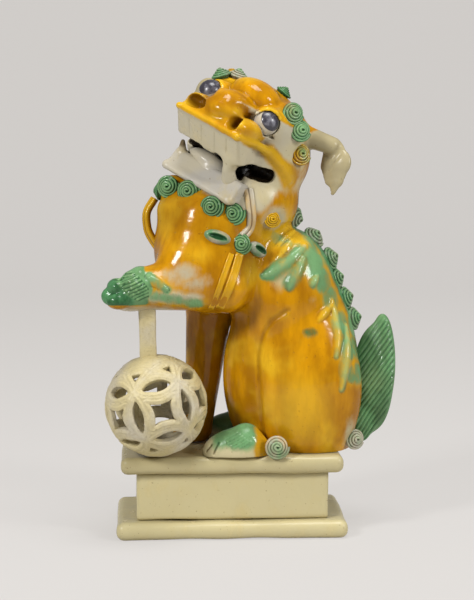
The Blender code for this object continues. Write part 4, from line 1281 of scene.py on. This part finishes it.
jawForm = {
    "bar": ((-9.6, 0.5, -36.0), (13.2, 19.4, 5.2), -0.42),
    "rim": ((3.4, 18.4, -39.8), 1.5, (1.0, 18.9, -39.8), 1.4, (-21, 19.2, -38.6), 1.8),
    "scoop": ((-9.5, 0.5, -30.5), (8.6, 15.2, 5.6)),
    "cheekSide": ((-8, 17.0, -33.0), 1.8, (-14, 17.8, -32.4), 2.2, (-24, 18.6, -31.0), 4.0),
    "farIn": 3.0,
    "fang": ((-0.5, 16.4, -32.0), 2.2, (3.2, 16.0, -27.4), 1.0),
    "tongue": ((-4, -0.5, -33.4), (6.4, 10.5, 5.0)),
    "tongueTip": ((-4.0, -5.0, -29.6), (6.4, 9.6, 3.4)),
    "grain": 0.45,
    "tongueGrain": 0.4,
}


def makeJaw():
    low, high = boxOf("lower_jaw")
    clay = Clay(low - 6, high + 6, jawForm["grain"])
    centre, half, lean = jawForm["bar"]
    clay.add(slabOf(onHead(centre), half, 1.5, headAxes, lean), 1)
    clay.add(rods(acrossHead(jawForm["rim"][0]), jawForm["rim"][1]), 2)
    for side in (1, -1):
        clay.add(headRods(jawForm["rim"], side), 1.5)
        clay.add(headRods(jawForm["cheekSide"], side, 0 if side > 0 else jawForm["farIn"]), 1.5)
    centre, half = jawForm["scoop"]
    clay.take(slabOf(onHead(centre), half, 2, headAxes), 1.2)
    fang = jawForm["fang"]
    clay.add(headRods(fang, -1), 1.4)

    def paint(points, pool, thin):
        f, l, u = inHeadFrame(points)
        # painted shade: the inside of the jaw near black; the fang's tip dark
        inner = smooth((-1.0 - f) / 1.5) * smooth((18.8 - np.abs(l)) / 1) * smooth((u + 36.5) / 1)
        tip = inLump(points, onHead(fang[2], -1), (2.4,) * 3, edge=1)
        return {"cream": 1, "pool": most(0.6 * pool, most(2 * inner, tip))}

    dressClay(clay, "lowerJaw", creamGlaze, ("lower_jaw",), paint)
    low, high = boxOf("tongue")
    clay = Clay(low - 7, high + 7, jawForm["tongueGrain"])
    clay.add(headLump(jawForm["tongue"]), 0.1)
    clay.add(headLump(jawForm["tongueTip"]), 2)

    def paintTongue(points, pool, thin):
        return {"cream": 1}

    dressClay(clay, "tonguePad", creamGlaze, ("tongue",), paintTongue)


eyeForm = {
    "pupilWays": {1: (0.44, 0.70, 0.56), -1: (0.78, -0.10, 0.60)},
    "pupilReach": 58.0,
    "pupilRise": 0.12,
    "grain": 0.3,
    "names": {1: ("leftEye", "left_eye", "left_eyeball"), -1: ("rightEye", "right_eye", "right_eyeball")},
}


def makeEyes():
    for side, (name, node, body) in eyeForm["names"].items():
        centre, radius = sum(boxOf(node)) / 2, headForms["eyeRadius"]
        clay = Clay(centre - radius - 1, centre + radius + 1, eyeForm["grain"])
        clay.add(lump(centre, (radius,) * 3), 0.1)
        points, quads = clay.skin()
        way = unit(np.array(eyeForm["pupilWays"][side]) @ headAxes)
        out = units(points - centre)
        angle = np.degrees(np.arccos(np.clip(out @ way, -1, 1)))
        pupil = smooth((eyeForm["pupilReach"] + 4 - angle) / 8)
        points = points + out * (eyeForm["pupilRise"] * pupil)[:, None]
        makePiece(name, points, quads, eyeGlaze, (node,), {"pupil": pupil}, body)


curlForm = {
    "turns": 4.0,
    "pointsPerTurn": 22,
    "rope": 0.135,
    "innerRadius": 0.06,
    "ropeSides": 7,
    "dome": 0.8,
    "height": 0.62,
    "radius": 5.2,
    "sizes": {"left_brow": 1.06, "right_brow": 0.98, "crown": 0.8, "beard": 1.12, "left_bow": 1.08,
              "right_bow": 0.95, "neck": 0.8, "left_heel": 1.15, "right_heel": 1.15, "spine": 1.12},
    "lifts": {"beard_curl_2": 1.0, "beard_curl_3": 3.6, "beard_curl_4": 0.6},
    "ways": {"beard": (-0.3, -0.95, 0.05), "left_brow": (0.3, -0.93, 0.2), "left_bow": (0.05, -0.99, 0.1),
             "neck": (0.1, -0.98, 0.15), "left_heel": (0.0, -1, 0.15), "right_heel": (0.0, 1, 0.15),
             "tail_root": (0.4, -0.9, 0.1)},
    "spineLean": (0.0, -0.55, 0.0),
    "creams": {"left_heel_curl": 0.62, "tail_root_curl": 0.9, "right_brow_curl_1": 0.9,
               "right_brow_curl_2": 0.7, "left_brow_curl_1": 0.6, "left_brow_curl_2": 0.6},
    "greens": {"left_heel_curl": 0.44, "right_brow_curl_1": 0.6, "right_brow_curl_2": 0.5,
               "left_brow_curl_1": 0.72, "left_brow_curl_2": 0.72, "left_bow_knot": 0.75, "neck_curl": 0.2,
               "left_brow_curl_3": 0.45, "right_brow_curl_3": 0.4, "tail_root_curl": 0.45},
    "spineShares": (0.56, 0.9),
}


def snailTree():
    sheet, given, put = newGroup(
        "GeometryNodeTree", "snailCurl",
        {"Geometry": "Geometry", "Turns": "Float", "Rope": "Float", "Dome": "Float", "Height": "Float",
         "Points per turn": "Int", "Rope sides": "Int", "Glaze": "Material"},
        {"Geometry": "Geometry"})

    def grow(kind, feeds, **settings):
        return sheet.add(kind, feeds, **settings).outputs[0]

    def store(geometry, label, value):
        feeds = {"Geometry": geometry, "Name": label, "Value": value}
        return grow("GeometryNodeStoreNamedAttribute", feeds, data_type="FLOAT", domain="POINT")

    def named(label, kind):
        return grow("GeometryNodeInputNamedAttribute", {"Name": label}, data_type=kind)

    # a rope wound up a low dome, its crests thinly glazed and its grooves dark
    rope, height = given["Rope"], given["Height"]
    spiral = grow("GeometryNodeCurveSpiral", {
        "Resolution": given["Points per turn"], "Rotations": given["Turns"], "Height": height,
        "Start Radius": sheet.math("SUBTRACT", 1.0, rope), "End Radius": curlForm["innerRadius"]})
    ring = grow("GeometryNodeCurvePrimitiveCircle", {"Resolution": given["Rope sides"], "Radius": rope})
    coil = grow("GeometryNodeCurveToMesh", {"Curve": spiral, "Profile Curve": ring, "Fill Caps": True})
    rise = sheet.add("ShaderNodeSeparateXYZ", {0: grow("GeometryNodeInputNormal", {})}).outputs[2]
    coil = store(coil, "thin", sheet.times(sheet.step(rise, 0.6, 0.97), 0.85))
    coil = store(coil, "pool", sheet.step(rise, 0.6, 0.15))
    dome = grow("GeometryNodeMeshUVSphere", {"Segments": 20, "Rings": 10, "Radius": given["Dome"]})
    flat = grow("ShaderNodeCombineXYZ", {0: 1.0, 1: 1.0, 2: height})
    dome = store(grow("GeometryNodeTransform", {"Geometry": dome, "Scale": flat}), "pool", 0.8)
    joined = sheet.add("GeometryNodeJoinGeometry")
    for part in (dome, coil):
        sheet.feed(joined.inputs[0], part)

    aim = grow("FunctionNodeAlignRotationToVector", {"Vector": named("facing", "FLOAT_VECTOR")}, axis="Z")
    placed = grow("GeometryNodeInstanceOnPoints", {
        "Points": given["Geometry"], "Instance": joined.outputs[0], "Rotation": aim,
        "Scale": named("size", "FLOAT")})
    real = grow("GeometryNodeRealizeInstances", {0: placed})
    glazed = grow("GeometryNodeSetMaterial", {"Geometry": real, "Material": given["Glaze"]})
    sheet.feed(put["Geometry"], glazed)
    return sheet.tree


def curlWay(name, middle):
    for start, way in curlForm["ways"].items():
        if name.startswith(start):
            return unit(np.array(way))
    way = lion.facing([middle], 3.0)[0]
    if name.startswith("spine"):
        way = way + np.array(curlForm["spineLean"])
    return unit(way)


def makeCurls():
    names = [n for n in frame["nodes"] if "curl" in n or "knot" in n]
    greens, creams = dict(curlForm["greens"]), dict(curlForm["creams"])
    places, facings, sizes = [], [], []
    for name in names:
        if name.startswith("spine"):
            greens[name], creams[name] = curlForm["spineShares"]
        corners = np.array([v.co for v in frame["nodes"][name].data.vertices]) / mm
        middle = corners.mean(0)
        way = curlWay(name, middle)
        reach = (corners - middle) @ way
        size = next((s for k, s in curlForm["sizes"].items() if name.startswith(k)), 1.0)
        size = curlForm["radius"] * size
        lift = curlForm["lifts"].get(name, 0.0)
        places.append(middle + way * (reach.max() - curlForm["height"] * size * 1.1 + lift))
        facings.append(way)
        sizes.append(size)
    mesh = bpy.data.meshes.new("curlSpots")
    mesh.from_pydata((np.array(places) * mm).tolist(), [], [])
    layer = mesh.attributes.new("facing", "FLOAT_VECTOR", "POINT")
    layer.data.foreach_set("vector", np.array(facings, np.float32).ravel())
    carry(mesh, {"size": np.array(sizes) * mm, "green": [greens.get(n, 1.0) - 1.0 for n in names],
                 "cream": [creams.get(n, 0.0) for n in names]})
    spots = linked("curlSpots", mesh)
    modifier = spots.modifiers.new("snail", "NODES")
    modifier.node_group = snailTree()
    values = {label.capitalize(): curlForm[label] for label in ("turns", "rope", "dome", "height")}
    values |= {"Points per turn": curlForm["pointsPerTurn"], "Rope sides": curlForm["ropeSides"],
               "Glaze": greenGlaze}
    for item in modifier.node_group.interface.items_tree:
        if item.in_out == "INPUT" and item.name in values:
            modifier[item.identifier] = values[item.name]
    done = bpy.data.meshes.new_from_object(spots.evaluated_get(bpy.context.evaluated_depsgraph_get()))
    spots.modifiers.remove(modifier)
    bpy.data.objects.remove(spots)
    showPiece("snailCurls", done, None, names)


ribbonForm = {
    # sections across a ribbon: share of its width, and height in millimetres
    "strand": ((-0.5, -1.6), (-0.5, 0.35), (-0.43, 0.75), (-0.12, 0.8), (0.0, 0.35), (0.12, 0.8),
               (0.43, 0.75), (0.5, 0.35), (0.5, -1.6)),
    "strip": ((-0.5, -1.6), (-0.5, 0.5), (-0.38, 0.85), (-0.2, 0.6), (0.2, 0.6), (0.38, 0.85), (0.5, 0.5),
              (0.5, -1.6)),
    "strap": ((7.0, 118.4), (7.6, 115), (8.0, 111), (8.4, 106), (7.6, 101), (4.2, 97.5)),
    "front": ((-0.6, 90.5), (-3.6, 82.5), (-6.4, 75), (-9.6, 66.5)),
    "back": ((3.0, 90.4), (0.8, 82.8), (-2.2, 74.8), (-5.8, 66.8)),
    "lift": (0, -0.3, 0),
    # name, node, slot, share of cream, section and width
    "pieces": {"strap": ("cheekStrap", "left_cheek_strap", "cream_glaze", 0.62, "strand", 4.2),
               "front": ("ribbonFront", "left_ribbon_front", "amber_glaze", 0.2, "strip", 2.6),
               "back": ("ribbonBack", "left_ribbon_back", "amber_glaze", 0.15, "strip", 3.8)},
    "far": ((-34.0, 3, 113), (-37.5, 2, 107), (-37.6, 1.0, 101), (-36.0, -0.5, 96), (-30, -3, 87)),
    "farPiece": ("farRibbon", "right_ribbon", "amber_glaze", 0.1, "strand", 3.6),
    "farFacing": (-0.85, -0.5, 0.1),
}


def makeRibbon(path, name, node, slot, cream, section, width, outward=None):
    path = smoothPath(path, 8)
    ahead = units(np.gradient(path, axis=0))
    facing = lion.facing(path, 2.0) if outward is None else np.tile(outward, (len(path), 1))
    facing[:] = np.array([facing[max(0, i - 4):i + 5].mean(0) for i in range(len(path))])
    side = units(np.cross(ahead, facing))
    facing = np.cross(side, ahead)
    section = ribbonForm[section]
    points = np.stack([path + side * (a * width) + facing * b for a, b in section], 1).reshape(-1, 3)
    n = len(section)
    faces = [((i + 1) * n + j, (i + 1) * n + (j + 1) % n, i * n + (j + 1) % n, i * n + j)
             for i in range(len(path) - 1) for j in range(n)]
    faces += [tuple(range(n)), tuple(range(len(points) - n, len(points)))[::-1]]
    mesh = bpy.data.meshes.new(name)
    mesh.from_pydata((points * mm).tolist(), [], faces)
    depth = np.tile([0.9 if abs(a) < 0.05 or b < 0 else 0.0 for a, b in section], len(path))
    carry(mesh, {"pool": depth, "thin": 0.5 - 0.5 * depth, "cream": np.full(len(points), cream)})
    work = bmesh.new()
    work.from_mesh(mesh)
    bmesh.ops.recalc_face_normals(work, faces=work.faces)
    work.to_mesh(mesh)
    work.free()
    showPiece(name, mesh, amberGlaze, (node,))


def makeRibbons():
    for key, look in ribbonForm["pieces"].items():
        line = np.array(onFlank(lion, ribbonForm[key], -1)) + ribbonForm["lift"]
        makeRibbon(line, *look)
    makeRibbon([up(p) for p in ribbonForm["far"]], *ribbonForm["farPiece"], ribbonForm["farFacing"])


bowForm = {
    "half": (6.0, 2.7, 3.0),
    "cleft": (4.2, 2.4, 1.1),
    "grain": 0.35,
    "aims": {"left_bow_loop_front": ("leftBowLoopFront", (-6.8, 97.8), -0.3),
             "left_bow_loop_back": ("leftBowLoopBack", (10.8, 91.6), -0.3)},
}


def makeBows():
    for node, (name, spot, slope) in bowForm["aims"].items():
        middle = np.array(onFlank(lion, [spot], -1)[0])
        out = lion.facing([middle], 2.0)[0]
        way = unit(np.array((1, 0, slope)) - out * out[0])
        axes = np.array([way, out, np.cross(way, out)])
        clay = Clay(middle - 9, middle + 9, bowForm["grain"])
        clay.add(lump(middle + out * 0.6, bowForm["half"], axes), 0.1)
        cleft = lump(middle + out * 3.4, bowForm["cleft"], axes)
        clay.take(cleft, 0.4)

        def paint(points, pool, thin):
            inCleft = smooth(0.8 - cleft[0](*points.T) / 0.6)
            # the cleft darkened as painted shade, with cream round it
            return {"cream": 1 - inCleft, "green": -0.5 + 0.5 * inCleft, "pool": most(0.6 * pool, inCleft)}

        dressClay(clay, name, greenGlaze, (node,), paint, hollowReach=0.8)


makePlinth()
makeBrocadeBall()
makePost()
makeTail()
makeHindFeet()
makeJaw()
makeEyes()
makeCurls()
makeRibbons()
makeBows()

# every solid that is left showing takes the glaze of its slot
for part in frame["record"]["subparts"]:
    for holder in frame["nodes"][part["node"]].material_slots:
        holder.material = slotMaterials[part["material_slot"]]
